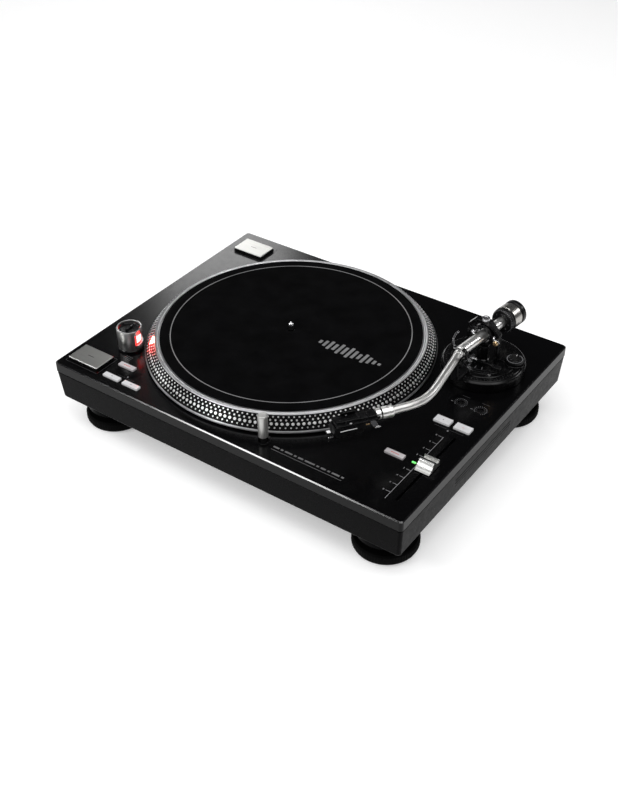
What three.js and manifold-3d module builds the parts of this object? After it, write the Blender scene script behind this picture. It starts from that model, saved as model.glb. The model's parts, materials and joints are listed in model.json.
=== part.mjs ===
// A direct-drive turntable: plinth, motor and platter, controls, and an S-shaped tonearm.
// Millimetres, +Z up. The origin is on the floor below the middle of the plinth, +X right, +Y to the rear.
import * as THREE from 'three';
import { mergeVertices } from 'three/addons/utils/BufferGeometryUtils.js';
import Module from 'manifold-3d';

const wasm = await Module();
wasm.setup();

// ---- driving dimensions -------------------------------------------------------------------------

const GAP = 0.3;                       // air between touching pieces
const RUNNING = 0.08;                  // radial air round the platter shaft
const SEG = 36;                        // sides of a mid-sized round piece
const FINE = 18;                       // sides of a small round piece
const WIDE = 64;                       // sides of the platter and mat

const PLINTH = { w: 458, d: 354, top: 85, corner: 4, bevel: 1.2 };
const PLATE = { skirt: 12.5, skin: 4.5, wall: 5 };
const TUB = { floor: 34.5, seam: 1, wall: 4, taper: 2.3, lip: 4.5, inset: 0.5, chamfer: 3 };
const FOOT = { x: 185.3, y: 132.5, r: 35.7, pad: 14, neck: 27, collar: 32, stud: 5 };

const SPINDLE = { x: -30.8, y: 3.1, r: 3.6, shaft: 4, tip: 29, foot: -24 };
const PLATTER = { rim: 151.5, band: 165, flange: 166, top: 18.4, web: 5.5, low: 2, hub: 4.4 };
const MAT = { r: 148.5, top: 20, thick: 1.4 };
const MOTOR = { bay: 64, stator: 60, coil: 44, magnetIn: 47, magnetOut: 57, sleeve: 11 };

const START = { w: 42.7, d: 28.3, proud: 4.5 };
const KEY = { w: 22, d: 6.5, proud: 2 };
const RANGE_KEY = { w: 18.7, d: 10.2, proud: 2 };
const KEY_DEPTH = 4;                   // how far a button reaches below the plate's top
const STROBE = { x: -176.9, y: -106.1, r: 14.3, wall: 2, top: 28, low: 3.5, face: 20, half: 42 };
const LAMP = { x: 47.5, y: -153, r: 5.3, top: 33, foot: -15, sleeve: 7.2 };
const FADER = { x: 207.25, y: -95.3, travel: 50, slot: 3, capW: 17, capD: 21, capH: 9.6, stem: 1.8 };
const TRIMMERS = [['torque_trimmer', 182.5, 16.6], ['brake_trimmer', 206.3, 16]];

const ARM = { x: 169.5, y: 84.5, z: 45, yaw: -7, sleeve: 6, tube: 4.5, stub: 5.7 };
const RING = { x: 171, y: 84.5, inner: 36.5, outer: 46.5, top: 13 };
const BASE = { r: 36, top: 13.5, low: -14, wall: 4 };
const ARCH = { inner: 15.2, outer: 19, top: 63, spring: 44, depth: 7 };
const GIMBAL = { inner: 8.5, outer: 12.5, depth: 7 };
const WEIGHT = { r: 14.2, dial: 14, near: 31, split: 37, band: 14, step: 1, groove: 1.5, far: 60 };
const LIFT = { r: 33, width: 2.2, thick: 1.8, z: 32.6, post: [-18.5, -23] };
const SHELL = { x: 158.5, y: -86.5, yaw: -35.45 };
const TUBE_PATH = [                    // S-shaped centreline, measured from the pivot
  [-4.9, -46.5], [-3.8, -54.5], [-1.9, -64.5], [2.9, -94.5], [6, -114.5], [6.9, -126.4],
  [6.1, -136.1], [4.1, -144.2], [-0.2, -153.7], [-6.1, -163.1], [-11, -171], [-13.6, -174.7],
];

const PLATE_Z = PLINTH.top;

// ---- solids --------------------------------------------------------------------------------------

// Turns a closed three.js geometry into a solid that can be joined and cut.
function solid(geometry) {
  const bare = geometry.index ? geometry.toNonIndexed() : geometry.clone();
  bare.deleteAttribute('normal');
  bare.deleteAttribute('uv');
  const merged = mergeVertices(bare, 1e-4);
  const index = merged.index.array;
  const triangles = [];
  for (let i = 0; i < index.length; i += 3) {
    const [a, b, c] = [index[i], index[i + 1], index[i + 2]];
    if (a !== b && b !== c && c !== a) {
      triangles.push(a, b, c);
    }
  }
  const mesh = new wasm.Mesh({
    numProp: 3,
    vertProperties: Float32Array.from(merged.attributes.position.array),
    triVerts: Uint32Array.from(triangles),
  });
  return new wasm.Manifold(mesh);
}

function geometryOf(body) {
  const mesh = body.getMesh();
  const geometry = new THREE.BufferGeometry();
  geometry.setAttribute('position', new THREE.BufferAttribute(Float32Array.from(mesh.vertProperties), 3));
  geometry.setIndex(new THREE.BufferAttribute(Uint32Array.from(mesh.triVerts), 1));
  geometry.computeVertexNormals();
  return geometry;
}

function join(...geometries) {
  return geometryOf(geometries.map(solid).reduce((sum, next) => sum.add(next)));
}

function cut(geometry, ...tools) {
  return geometryOf(tools.map(solid).reduce((rest, tool) => rest.subtract(tool), solid(geometry)));
}

// A box w by d by h with the middle of its underside at x, y, z.
function box(w, d, h, x = 0, y = 0, z = 0) {
  return new THREE.BoxGeometry(w, d, h).translate(x, y, z + h / 2);
}

// An upright cylinder or cone with the middle of its underside at x, y, z.
function drum(r, h, x = 0, y = 0, z = 0, sides = SEG, rTop = r) {
  return new THREE.CylinderGeometry(rTop, r, h, sides).rotateX(Math.PI / 2).translate(x, y, z + h / 2);
}

// A cylinder along Y from y0 to y1.
function rod(r, y0, y1, x = 0, z = 0, sides = FINE, rEnd = r) {
  return new THREE.CylinderGeometry(rEnd, r, y1 - y0, sides).translate(x, (y0 + y1) / 2, z);
}

// A profile of [radius, height] points turned about Z.
function turned(profile, sides = SEG) {
  const points = profile.map(([r, z]) => new THREE.Vector2(r, z));
  return new THREE.LatheGeometry(points, sides).rotateX(Math.PI / 2);
}

function ring(inner, outer, z0, z1, sides = SEG) {
  return turned([[inner, z0], [outer, z0], [outer, z1], [inner, z1], [inner, z0]], sides);
}

function prism(shape, z0, z1, curveSegments = 12) {
  const depth = z1 - z0;
  return new THREE.ExtrudeGeometry(shape, { depth, bevelEnabled: false, curveSegments }).translate(0, 0, z0);
}

// An outline in the X-Z plane given a thickness along Y.
function upright(shape, y0, y1, curveSegments = 12) {
  return prism(shape, -y1, -y0, curveSegments).rotateX(Math.PI / 2);
}

function polygon(points) {
  return new THREE.Shape(points.map(([x, y]) => new THREE.Vector2(x, y)));
}

// Part of a ring between two angles in degrees.
function sector(inner, outer, from, to) {
  const a = THREE.MathUtils.degToRad(from);
  const b = THREE.MathUtils.degToRad(to);
  const shape = new THREE.Shape();
  shape.absarc(0, 0, outer, a, b, false);
  shape.absarc(0, 0, inner, b, a, true);
  shape.closePath();
  return shape;
}

function cornerPoints(w, d, r, steps = 3) {
  const points = [];
  const corners = [[1, 1, 0], [-1, 1, 90], [-1, -1, 180], [1, -1, 270]];
  for (const [sx, sy, start] of corners) {
    for (let i = 0; i <= steps; i += 1) {
      const angle = THREE.MathUtils.degToRad(start + (90 * i) / steps);
      const x = sx * (w / 2 - r) + r * Math.cos(angle);
      const y = sy * (d / 2 - r) + r * Math.sin(angle);
      points.push([x, y]);
    }
  }
  return points;
}

// Rounded rectangles { w, d, r, z } stacked from the bottom up and skinned into one closed body.
function loft(sections, x = 0, y = 0) {
  const rows = sections.map((s) => cornerPoints(s.w, s.d, s.r));
  const count = rows[0].length;
  const position = [];
  rows.forEach((row, k) => row.forEach(([px, py]) => position.push(px + x, py + y, sections[k].z)));
  const index = [];
  for (let k = 0; k + 1 < rows.length; k += 1) {
    for (let i = 0; i < count; i += 1) {
      const j = (i + 1) % count;
      const [a, b, c, d] = [k * count + i, k * count + j, (k + 1) * count + i, (k + 1) * count + j];
      index.push(a, b, d, a, d, c);
    }
  }
  const last = (rows.length - 1) * count;
  for (let i = 1; i + 1 < count; i += 1) {
    index.push(0, i + 1, i);
    index.push(last, last + i, last + i + 1);
  }
  const geometry = new THREE.BufferGeometry();
  geometry.setAttribute('position', new THREE.Float32BufferAttribute(position, 3));
  geometry.setIndex(index);
  return geometry;
}

// A button top w by d with softened edges, from the plate's underside up to its proud height.
function buttonShape(w, d, proud, depth = KEY_DEPTH) {
  const edge = Math.min(0.5, proud / 3);
  return loft([
    { w, d, r: 1, z: -depth },
    { w, d, r: 1, z: proud - edge },
    { w: w - 2 * edge, d: d - 2 * edge, r: 1, z: proud },
  ]);
}

// ---- finishes and the scene graph ----------------------------------------------------------------

const FINISH = {
  gloss: [0x070708, 0.12, 0],
  satin: [0x1b1b1c, 0.5, 0],
  rubber: [0x101010, 0.9, 0],
  blackMetal: [0x0c0c0d, 0.3, 0.6],
  silver: [0xc9c9cb, 0.25, 1],
  brushed: [0x8d8c86, 0.35, 1],
  steel: [0xb4b4b6, 0.3, 1],
  felt: [0x060606, 1, 0],
  white: [0xe8e8ea, 0.4, 0],
  red: [0xff1a10, 0.2, 0],
  green: [0x20ff60, 0.2, 0],
  board: [0x0e4a2a, 0.6, 0],
  copper: [0xb87333, 0.4, 1],
  ferrite: [0x2a2a2c, 0.7, 0.2],
};

const turntable = new THREE.Group();

function add(parent, name, geometry, finish, position = [0, 0, 0]) {
  const [color, roughness, metalness] = FINISH[finish];
  const material = new THREE.MeshStandardMaterial({ color, roughness, metalness });
  const mesh = new THREE.Mesh(geometry, material);
  mesh.name = name;
  mesh.position.set(...position);
  parent.add(mesh);
}

function group(parent, x, y, z, yaw = 0) {
  const child = new THREE.Group();
  child.position.set(x, y, z);
  child.rotation.z = THREE.MathUtils.degToRad(yaw);
  parent.add(child);
  return child;
}

// ---- plinth --------------------------------------------------------------------------------------

const deck = group(turntable, 0, 0, PLATE_Z);
const halfW = PLINTH.w / 2;
const halfD = PLINTH.d / 2;

const START_BUTTONS = [['start_button_front', -197, -150], ['start_button_rear', -193.1, 143.7]];
const KEYS = [
  ['speed_button_33', -154.7, -161.8, KEY, 'white'],
  ['speed_button_45', -126.8, -161.8, KEY, 'white'],
  ['reverse_button', -153.8, -137.9, KEY, 'white'],
  ['range_button_low', 182.8, -21.4, RANGE_KEY, 'white'],
  ['range_button_high', 206.6, -21.4, RANGE_KEY, 'white'],
  ['reset_button', 170, -95.6, KEY, 'white'],
];

function topPlate() {
  const { w, d, corner, bevel } = PLINTH;
  const body = loft([
    { w, d, r: corner, z: -PLATE.skirt },
    { w, d, r: corner, z: -bevel },
    { w: w - 2 * bevel, d: d - 2 * bevel, r: corner, z: 0 },
  ]);
  const pocket = loft([
    { w: w - 2 * PLATE.wall, d: d - 2 * PLATE.wall, r: 2, z: -PLATE.skirt - 1 },
    { w: w - 2 * PLATE.wall, d: d - 2 * PLATE.wall, r: 2, z: -PLATE.skin },
  ]);
  const through = PLATE.skin + 4;
  const holes = [
    drum(MOTOR.bay, through, SPINDLE.x, SPINDLE.y, -through + 2),
    drum(BASE.r + 2 * GAP, through, RING.x, RING.y, -through + 2),
    drum(LAMP.sleeve + GAP, through, LAMP.x, LAMP.y, -through + 2, FINE),
    drum(5.5, through, STROBE.x, STROBE.y, -through + 2, FINE),
    box(FADER.slot, 2 * FADER.travel + 14, through, FADER.x, FADER.y, -through + 2),
    box(5.4, 2.8, through, 192.3, FADER.y, -through + 2),
  ];
  for (const [, x, y] of START_BUTTONS) {
    holes.push(box(START.w + 2 * GAP, START.d + 2 * GAP, through, x, y, -through + 2));
  }
  for (const [, x, y, size] of KEYS) {
    holes.push(box(size.w + 2 * GAP, size.d + 2 * GAP, through, x, y, -through + 2));
  }
  for (const [, x, y] of TRIMMERS) {
    holes.push(drum(4.2, through, x, y, -through + 2, FINE));
  }
  return cut(body, pocket, ...holes);
}

const JACKS = { x: 120, z: 40, w: 96, h: 26, back: 160, mouth: 173.6 };
const INLET = { x: -150, z: 42, w: 30, h: 22, back: 152, mouth: 174, cavityW: 24, cavityH: 16, depth: 17 };

function baseTub() {
  const top = PLATE_Z - PLATE.skirt - TUB.seam;
  const w = PLINTH.w - 2 * TUB.inset;
  const d = PLINTH.d - 2 * TUB.inset;
  const lowW = w - 2 * TUB.taper;
  const lowD = d - 2 * TUB.taper;
  const shell = loft([
    { w: lowW - 2 * TUB.chamfer, d: lowD - 2 * TUB.chamfer, r: PLINTH.corner, z: TUB.floor },
    { w: lowW, d: lowD, r: PLINTH.corner, z: TUB.floor + TUB.chamfer },
    { w, d, r: PLINTH.corner, z: top },
  ]);
  const inW = PLINTH.w - 2 * PLATE.wall - 2;
  const inD = PLINTH.d - 2 * PLATE.wall - 2;
  const lip = loft([
    { w: inW, d: inD, r: 2, z: top - 2 },
    { w: inW, d: inD, r: 2, z: top + TUB.seam + TUB.lip },
  ]);
  const cavity = loft([
    { w: lowW - 2 * TUB.wall - 2, d: lowD - 2 * TUB.wall - 2, r: 3, z: TUB.floor + TUB.wall },
    { w: inW - 6, d: inD - 6, r: 3, z: top + TUB.seam + TUB.lip + 1 },
  ]);
  const jackHole = box(JACKS.w + 2 * GAP, 30, JACKS.h + 2 * GAP, JACKS.x, 170, JACKS.z - GAP);
  const inletHole = box(INLET.w + 2 * GAP, 30, INLET.h + 2 * GAP, INLET.x, 170, INLET.z - GAP);
  const studs = [];
  for (const sx of [-1, 1]) {
    for (const sy of [-1, 1]) {
      studs.push(drum(FOOT.stud + GAP, TUB.wall + 2, sx * FOOT.x, sy * FOOT.y, TUB.floor - 1, FINE));
    }
  }
  return cut(join(shell, lip), cavity, jackHole, inletHole, ...studs);
}

// A rubber-soled foot: round sole, waist and collar, with its threaded stud in the tub's floor.
function foot() {
  const seat = TUB.floor - GAP;
  return turned([
    [0, 0], [FOOT.r - 5, 0], [FOOT.r - 1.5, 2], [FOOT.r, 5.5], [FOOT.r, FOOT.pad - 2],
    [FOOT.r - 2, FOOT.pad], [FOOT.neck, FOOT.pad], [FOOT.neck, 20], [FOOT.collar, 20],
    [FOOT.collar, seat], [FOOT.stud, seat], [FOOT.stud, seat + 9], [0, seat + 9],
  ], 28);
}

function buildPlinth() {
  add(deck, 'top_plate', topPlate(), 'gloss');
  add(turntable, 'base_tub', baseTub(), 'satin');
  for (const [side, sx] of [['left', -1], ['right', 1]]) {
    for (const [end, sy] of [['front', -1], ['rear', 1]]) {
      add(turntable, `foot_${end}_${side}`, foot(), 'rubber', [sx * FOOT.x, sy * FOOT.y, 0]);
    }
  }
}

// ---- rear connections and boards -----------------------------------------------------------------

function jackTray() {
  const { x, z, w, h, back, mouth } = JACKS;
  const mid = (back + mouth) / 2;
  const tray = box(w, mouth - back, h, x, mid, z);
  const hollow = box(w - 5, mouth - back, h - 5, x, mid + 2.5, z + 2.5);
  return cut(tray, hollow);
}

function rcaJack() {
  return cut(join(rod(6, 0, 2), rod(4.1, 1, 9.5)), rod(1.6, 3, 12, 0, 0, 12));
}

function groundPost() {
  return join(rod(2, 0, 9.5), rod(3.8, 2.5, 8, 0, 0, 12));
}

function mainsInlet() {
  const { w, h, back, mouth, cavityW, cavityH, depth } = INLET;
  const body = box(w, mouth - back, h, 0, (back + mouth) / 2, 0);
  const cavity = box(cavityW, depth + 2, cavityH, 0, mouth - depth / 2 + 1, (h - cavityH) / 2);
  const hollow = cut(body, cavity);
  const pins = [[-7, 6.5], [0, 10], [7, 6.5]];
  const floor = mouth - depth;
  return pins.reduce((sum, [px, pz]) => join(sum, box(2, 12, 4, px, floor + 5, pz)), hollow);
}

function mainBoard() {
  const board = box(170, 90, 1.6);
  const chips = [[-55, 20, 18], [-20, -15, 14], [15, 18, 20], [52, -18, 12]];
  return chips.reduce((sum, [x, y, s]) => join(sum, box(s, s, 3, x, y, 1)), board);
}

function powerSupply() {
  const board = box(120, 70, 1.6);
  const core = box(38, 32, 24, -25, 0, 1);
  const capacitors = [[15, 18], [15, -6], [38, 6]].map(([x, y]) => drum(8, 20, x, y, 1, FINE));
  return join(board, core, ...capacitors);
}

function buildElectrics() {
  add(turntable, 'jack_panel', jackTray(), 'satin');
  const seat = JACKS.back + 2.5 + GAP;
  const midZ = JACKS.z + JACKS.h / 2;
  add(turntable, 'rca_jack_left', rcaJack(), 'silver', [JACKS.x - 28, seat, midZ]);
  add(turntable, 'rca_jack_right', rcaJack(), 'silver', [JACKS.x - 8, seat, midZ]);
  add(turntable, 'ground_post', groundPost(), 'silver', [JACKS.x + 24, seat, midZ]);
  add(turntable, 'mains_inlet', mainsInlet(), 'satin', [INLET.x, 0, INLET.z]);
  add(turntable, 'main_board', mainBoard(), 'board', [70, -80, 44]);
  add(turntable, 'power_supply', powerSupply(), 'board', [-130, 85, 44]);
}

// ---- motor and platter ---------------------------------------------------------------------------

function motorStator() {
  const bore = MOTOR.sleeve + 2;
  let body = ring(bore, MOTOR.stator, -10, -7);
  const coils = 12;
  for (let i = 0; i < coils; i += 1) {
    const angle = (i * 360) / coils;
    body = join(body, prism(sector(bore + 5, MOTOR.coil, angle + 5, angle + 25), -8, 8, 2));
  }
  return join(body, ring(bore, bore + 7, -8, 8, 24));
}

function bearingHousing() {
  const bore = SPINDLE.shaft + RUNNING;
  return turned([
    [bore, SPINDLE.foot + 3], [MOTOR.sleeve, SPINDLE.foot + 3], [MOTOR.sleeve, -14], [26, -14],
    [26, -10.5], [MOTOR.sleeve, -10.5], [MOTOR.sleeve, 9], [bore, 9], [bore, SPINDLE.foot + 3],
  ], FINE);
}

function spindle() {
  const { r, shaft, tip, foot: low } = SPINDLE;
  return turned([
    [0, low], [shaft, low], [shaft, 17], [r, 19], [r, tip - 3], [r * 0.75, tip - 1], [r * 0.3, tip], [0, tip],
  ], FINE);
}

function platter() {
  const { rim, band, flange, top, web, low, hub } = PLATTER;
  const under = top - web;
  return turned([
    [hub, under - 2], [16, under - 2], [20, under], [band - 12, under], [band - 9, low + 3],
    [flange - 8, low], [flange, low], [flange, low + 2], [band, low + 3], [rim + 3, top],
    [rim - 2, top + 0.2], [rim - 3, top - 0.4], [hub, top - 0.4], [hub, under - 2],
  ], WIDE);
}

function buildDrive() {
  const axis = group(deck, SPINDLE.x, SPINDLE.y, 0);
  const { magnetIn, magnetOut } = MOTOR;
  add(axis, 'motor_stator', motorStator(), 'copper');
  add(axis, 'bearing_housing', bearingHousing(), 'steel');
  add(axis, 'rotor_magnet', ring(magnetIn, magnetOut, -3, PLATTER.top - PLATTER.web - GAP), 'ferrite');
  add(axis, 'spindle', spindle(), 'silver');
  add(axis, 'platter', platter(), 'silver');
  add(axis, 'slipmat', ring(SPINDLE.shaft + GAP, MAT.r, MAT.top - MAT.thick, MAT.top, WIDE), 'felt');
}

// ---- controls ------------------------------------------------------------------------------------

function strobeHousing() {
  const { r, wall, top, low, face, half } = STROBE;
  const windowCut = prism(sector(r - wall - 3, r + 3, face - half, face + half), low + 6, top - 6);
  return cut(ring(r - wall, r, low, top), windowCut);
}

function strobeWindow() {
  const { r, wall, top, low, face, half } = STROBE;
  const outer = r - wall - GAP;
  return prism(sector(outer - 2.5, outer, face - half - 6, face + half + 6), low + 4, top - 5.4);
}

function powerKnob() {
  const { r, wall, top } = STROBE;
  const cap = drum(r - wall - 0.8, 3, 0, 0, top - 4.8, FINE);
  const grip = box(2, 12, 1.2, 0, 0, top - 2);
  return join(cap, grip, drum(4, top - 4 + 10, 0, 0, -10, FINE));
}

function faderCap() {
  const { capW, capD, capH, stem } = FADER;
  const lip = 2;
  const cap = loft([
    { w: capW, d: capD, r: 1, z: 0.8 },
    { w: capW, d: capD, r: 1, z: 5 },
    { w: capW, d: capD - 1, r: 1, z: capH },
  ]);
  const reach = capD / 2 - lip;
  const dip = new THREE.Shape();
  dip.moveTo(2.2, capH + 1);
  dip.quadraticCurveTo(3.2, 5.2, reach, 6);
  dip.lineTo(reach, capH + 1);
  dip.closePath();
  const front = prism(dip, -capW, capW, 5).rotateX(Math.PI / 2).rotateZ(Math.PI / 2);
  const rear = front.clone().rotateZ(Math.PI);
  const blade = box(stem, 8, 11, 0, 0, -9);
  return join(cut(cap, front, rear), blade);
}

function faderBody() {
  const length = 2 * FADER.travel;
  const shell = box(13, length + 34, 14, 0, 0, -19);
  const channel = box(FADER.stem + 1.4, length + 12, 12, 0, 0, -14);
  return cut(shell, channel);
}

function trimmer() {
  return cut(drum(3.8, 7, 0, 0, -8, FINE), box(1, 9, 1.5, 0, 0, -2));
}

function buildControls() {
  for (const [name, x, y] of START_BUTTONS) {
    add(deck, name, buttonShape(START.w, START.d, START.proud), 'brushed', [x, y, 0]);
  }
  for (const [name, x, y, size, finish] of KEYS) {
    add(deck, name, buttonShape(size.w, size.d, size.proud), finish, [x, y, 0]);
  }
  const tower = [STROBE.x, STROBE.y, 0];
  add(deck, 'strobe_base', ring(6, STROBE.r + 0.2, GAP, STROBE.low - GAP), 'blackMetal', tower);
  add(deck, 'strobe_housing', strobeHousing(), 'silver', tower);
  add(deck, 'strobe_window', strobeWindow(), 'red', tower);
  add(deck, 'power_knob', powerKnob(), 'blackMetal', tower);
  const lampAt = [LAMP.x, LAMP.y, 0];
  const { r, sleeve, top, foot: low } = LAMP;
  const collar = turned([
    [r + GAP, -22], [sleeve, -22], [sleeve, GAP], [sleeve + 1.3, GAP], [sleeve + 1.3, 1], [r + GAP, 1],
    [r + GAP, -22],
  ], FINE);
  const pillar = turned([[0, low], [r, low], [r, top - 1], [r - 1, top], [0, top]], FINE);
  add(deck, 'lamp_sleeve', collar, 'blackMetal', lampAt);
  add(deck, 'target_lamp', pillar, 'silver', lampAt);
  add(deck, 'pitch_fader_cap', faderCap(), 'silver', [FADER.x, FADER.y, 0]);
  add(deck, 'fader_body', faderBody(), 'steel', [FADER.x, FADER.y, 0]);
  add(deck, 'quartz_lamp', box(4.7, 2.2, 4, 0, 0, -3.4), 'green', [192.3, FADER.y, 0]);
  for (const [name, x, y] of TRIMMERS) {
    add(deck, name, trimmer(), 'blackMetal', [x, y, 0]);
  }
}

// ---- tonearm base --------------------------------------------------------------------------------

function heightRing() {
  const { inner, outer, top } = RING;
  return turned([
    [inner, GAP], [outer, GAP], [outer, top - 2], [outer - 2, top], [inner, top], [inner, GAP],
  ], 48);
}

const DIAL = { x: 203 - RING.x, y: 96 - RING.y, r: 9.8, z: 15 };
const PIVOT_X = ARM.x - RING.x;

function armBase() {
  const { r, top, low, wall } = BASE;
  const cup = turned([
    [0, top - wall], [r - wall, top - wall], [r - wall, low], [r, low], [r, top], [0, top],
  ], 48);
  const ear = drum(DIAL.r + 1.5, 1.4, DIAL.x, DIAL.y, top - 0.05);
  const neck = box(16, 8, 1.4, DIAL.x - 8, DIAL.y - 2, top - 0.05);
  const lowerBearing = drum(7, 18.5, PIVOT_X, 0, top - 0.1, FINE);
  const [px, py] = LIFT.post;
  const liftBody = drum(5.4, 12, PIVOT_X + px, py, top - 0.1, FINE);
  const liftBore = drum(2.9, 40, PIVOT_X + px, py, top - 20, FINE);
  return cut(join(cup, ear, neck, lowerBearing, liftBody), liftBore);
}

// The bow that carries the upper pivot, standing on the base either side of the arm.
function bearingArch() {
  const { inner, outer, top, spring, depth } = ARCH;
  const foot0 = BASE.top + GAP;
  const shape = new THREE.Shape();
  shape.moveTo(-outer, foot0);
  shape.lineTo(-inner, foot0);
  shape.lineTo(-inner, spring);
  shape.absarc(0, spring, inner, Math.PI, 0, true);
  shape.lineTo(inner, foot0);
  shape.lineTo(outer, foot0);
  shape.lineTo(outer, spring + 6);
  shape.lineTo(outer - 12, top);
  shape.lineTo(-outer + 8, top);
  shape.lineTo(-outer, top - 9);
  shape.closePath();
  return upright(shape, -depth / 2, depth / 2);
}

const REST = { x: 165.4 - ARM.x, y: 30.5 - ARM.y, top: 39, depth: 6 };

function armRest() {
  const foot0 = BASE.top + GAP;
  const bracket = box(9, 26, 2.4, REST.x, REST.y + 12, foot0);
  const post = box(7, REST.depth, REST.top - foot0 - 2, REST.x, REST.y, foot0);
  const cradle = box(15, REST.depth, 3, REST.x + 1, REST.y, REST.top - 3);
  return join(bracket, post, cradle);
}

// A hook that closes over the arm. It is drawn shut and turned open about its pin.
const CLIP = { pinX: 9.4, pinZ: -3.5, inner: 5.4, outer: 7.4, open: -48 };

function armClip() {
  const hook = upright(sector(CLIP.inner, CLIP.outer, -24, 128), -2, 2, 10);
  const eye = rod(2.2, -2, 2, CLIP.pinX - 1.2, CLIP.pinZ, FINE);
  const shut = join(hook, eye);
  const angle = THREE.MathUtils.degToRad(-CLIP.open);
  return shut.translate(-CLIP.pinX, 0, -CLIP.pinZ).rotateY(angle);
}

function cueLever() {
  const hub = rod(3.4, -4, 4);
  const stem = box(26, 3, 2.2, 14, 0, -1.1);
  const grip = box(11, 6, 2.6, 30, 0, -1.3);
  return join(hub, stem, grip);
}

function liftBar() {
  const { r, width, thick, z, post } = LIFT;
  const reach = Math.hypot(...post);
  const arc = prism(sector(r - width / 2, r + width / 2, 174, 286), z, z + thick, 16);
  const stalk = drum(2.6, z + thick - 4, post[0], post[1], 4, FINE);
  const angle = Math.atan2(post[1], post[0]);
  const bridge = box(r - reach + 3, 4, thick, (r + reach) / 2, 0, z).rotateZ(angle);
  return join(arc, stalk, bridge);
}

function buildArmBase() {
  const base = group(deck, RING.x, RING.y, 0);
  const pivot = group(deck, ARM.x, ARM.y, 0);
  add(base, 'height_ring', heightRing(), 'blackMetal');
  add(base, 'arm_base', armBase(), 'gloss');
  const dial = join(drum(DIAL.r, 3.4, 0, 0, 0), drum(DIAL.r - 2.4, 4.8, 0, 0, 0), box(2, 12, 5.6));
  add(base, 'antiskate_dial', dial, 'blackMetal', [DIAL.x, DIAL.y, DIAL.z + GAP]);
  add(pivot, 'bearing_arch', bearingArch(), 'blackMetal');
  const knob = turned([[0, 0], [4.6, 0], [4.6, 2.2], [3.8, 3], [0, 3]], FINE);
  add(pivot, 'top_pivot_screw', knob, 'silver', [0, 0, ARCH.top + GAP]);
  add(pivot, 'arm_rest', armRest(), 'satin');
  add(pivot, 'arm_clip', armClip(), 'satin', [REST.x + CLIP.pinX, REST.y, ARM.z + CLIP.pinZ]);
  add(pivot, 'cue_lever', cueLever(), 'blackMetal', [-6, -14, 18.5]);
  add(pivot, 'lift_bar', liftBar(), 'steel');
}

// ---- tonearm -------------------------------------------------------------------------------------

function gimbalRing() {
  const { inner, outer, depth } = GIMBAL;
  const eyes = drum(2.6, 1.4, 0, 0, -outer - 0.2, FINE);
  const body = join(ring(inner, outer, -depth / 2, depth / 2, 32).rotateX(Math.PI / 2), eyes);
  const pinHole = new THREE.CylinderGeometry(2.3, 2.3, 60, FINE).rotateZ(Math.PI / 2);
  return cut(body, pinHole);
}

function bearingScrew(side) {
  const shank = new THREE.CylinderGeometry(2, 2, 6.6, FINE).rotateZ(Math.PI / 2).translate(side * 9.8, 0, 0);
  const head = new THREE.CylinderGeometry(3, 3, 1.6, FINE).rotateZ(Math.PI / 2);
  return join(shank, head.translate(side * (GIMBAL.outer + GAP + 0.8), 0, 0));
}

function armSleeve() {
  const { sleeve, stub } = ARM;
  return join(rod(sleeve, -45.5, 9), rod(stub, 8, WEIGHT.far - 3));
}

function armTube() {
  const points = TUBE_PATH.map(([x, y]) => new THREE.Vector3(x, y, 0));
  const extrudePath = new THREE.CatmullRomCurve3(points, false, 'centripetal');
  const section = polygon(Array.from({ length: 10 }, (_, i) => {
    const angle = (i * Math.PI) / 5;
    return [ARM.tube * Math.cos(angle), ARM.tube * Math.sin(angle)];
  }));
  return new THREE.ExtrudeGeometry(section, { extrudePath, steps: 30, bevelEnabled: false });
}

function turnedAlongArm(profile, sides = SEG) {
  return turned(profile, sides).rotateX(-Math.PI / 2);
}

function weightDial() {
  const bore = ARM.stub + GAP;
  const { near, split, dial } = WEIGHT;
  return turnedAlongArm([
    [bore, near], [dial - 2, near], [dial, near + 2], [dial, split - GAP], [bore, split - GAP], [bore, near],
  ], 32);
}

function counterweight() {
  const bore = ARM.stub + GAP;
  const { split, far, r, band, step, groove } = WEIGHT;
  const floor = split + band + step;
  return turnedAlongArm([
    [bore, split], [r, split], [r, split + band], [r - step, floor], [r - step, floor + groove],
    [r, floor + groove + step], [r, far - step], [r - step, far], [bore, far], [bore, split],
  ], 32);
}

function headshell() {
  const stem = rod(4, -16, -5);
  const body = upright(polygon([[-9, -1.2], [9, -1.2], [9, 1.4], [6, 3], [-6, 3], [-9, 1.4]]), -61, -14);
  return join(stem, body);
}

function cartridge() {
  const shape = polygon([[-30, -2], [-62, -2], [-64, -8], [-60, -13.5], [-34, -13.5], [-30, -10]]);
  return prism(shape, -7.5, 7.5).rotateX(Math.PI / 2).rotateZ(Math.PI / 2);
}

function stylus() {
  const block = box(8, 16, 3.4, 0, -54, -17.3);
  const beam = box(1.4, 7, 1.4, 0, -64, -16.6);
  const tip = drum(0.5, 5, 0, -66.4, -20.6, 8, 0.9);
  return join(block, beam, tip);
}

// The finger lift: a flat strip that leaves the shell sideways and curls upwards.
function fingerLift() {
  const strip = new THREE.Shape();
  strip.moveTo(9 + GAP, -0.4);
  strip.lineTo(17, -0.4);
  strip.quadraticCurveTo(24, -0.4, 26, 5);
  strip.lineTo(25, 5.4);
  strip.quadraticCurveTo(23, 0.8, 17, 0.8);
  strip.lineTo(9 + GAP, 0.8);
  strip.closePath();
  return upright(strip, -26, -21, 8);
}

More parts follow.
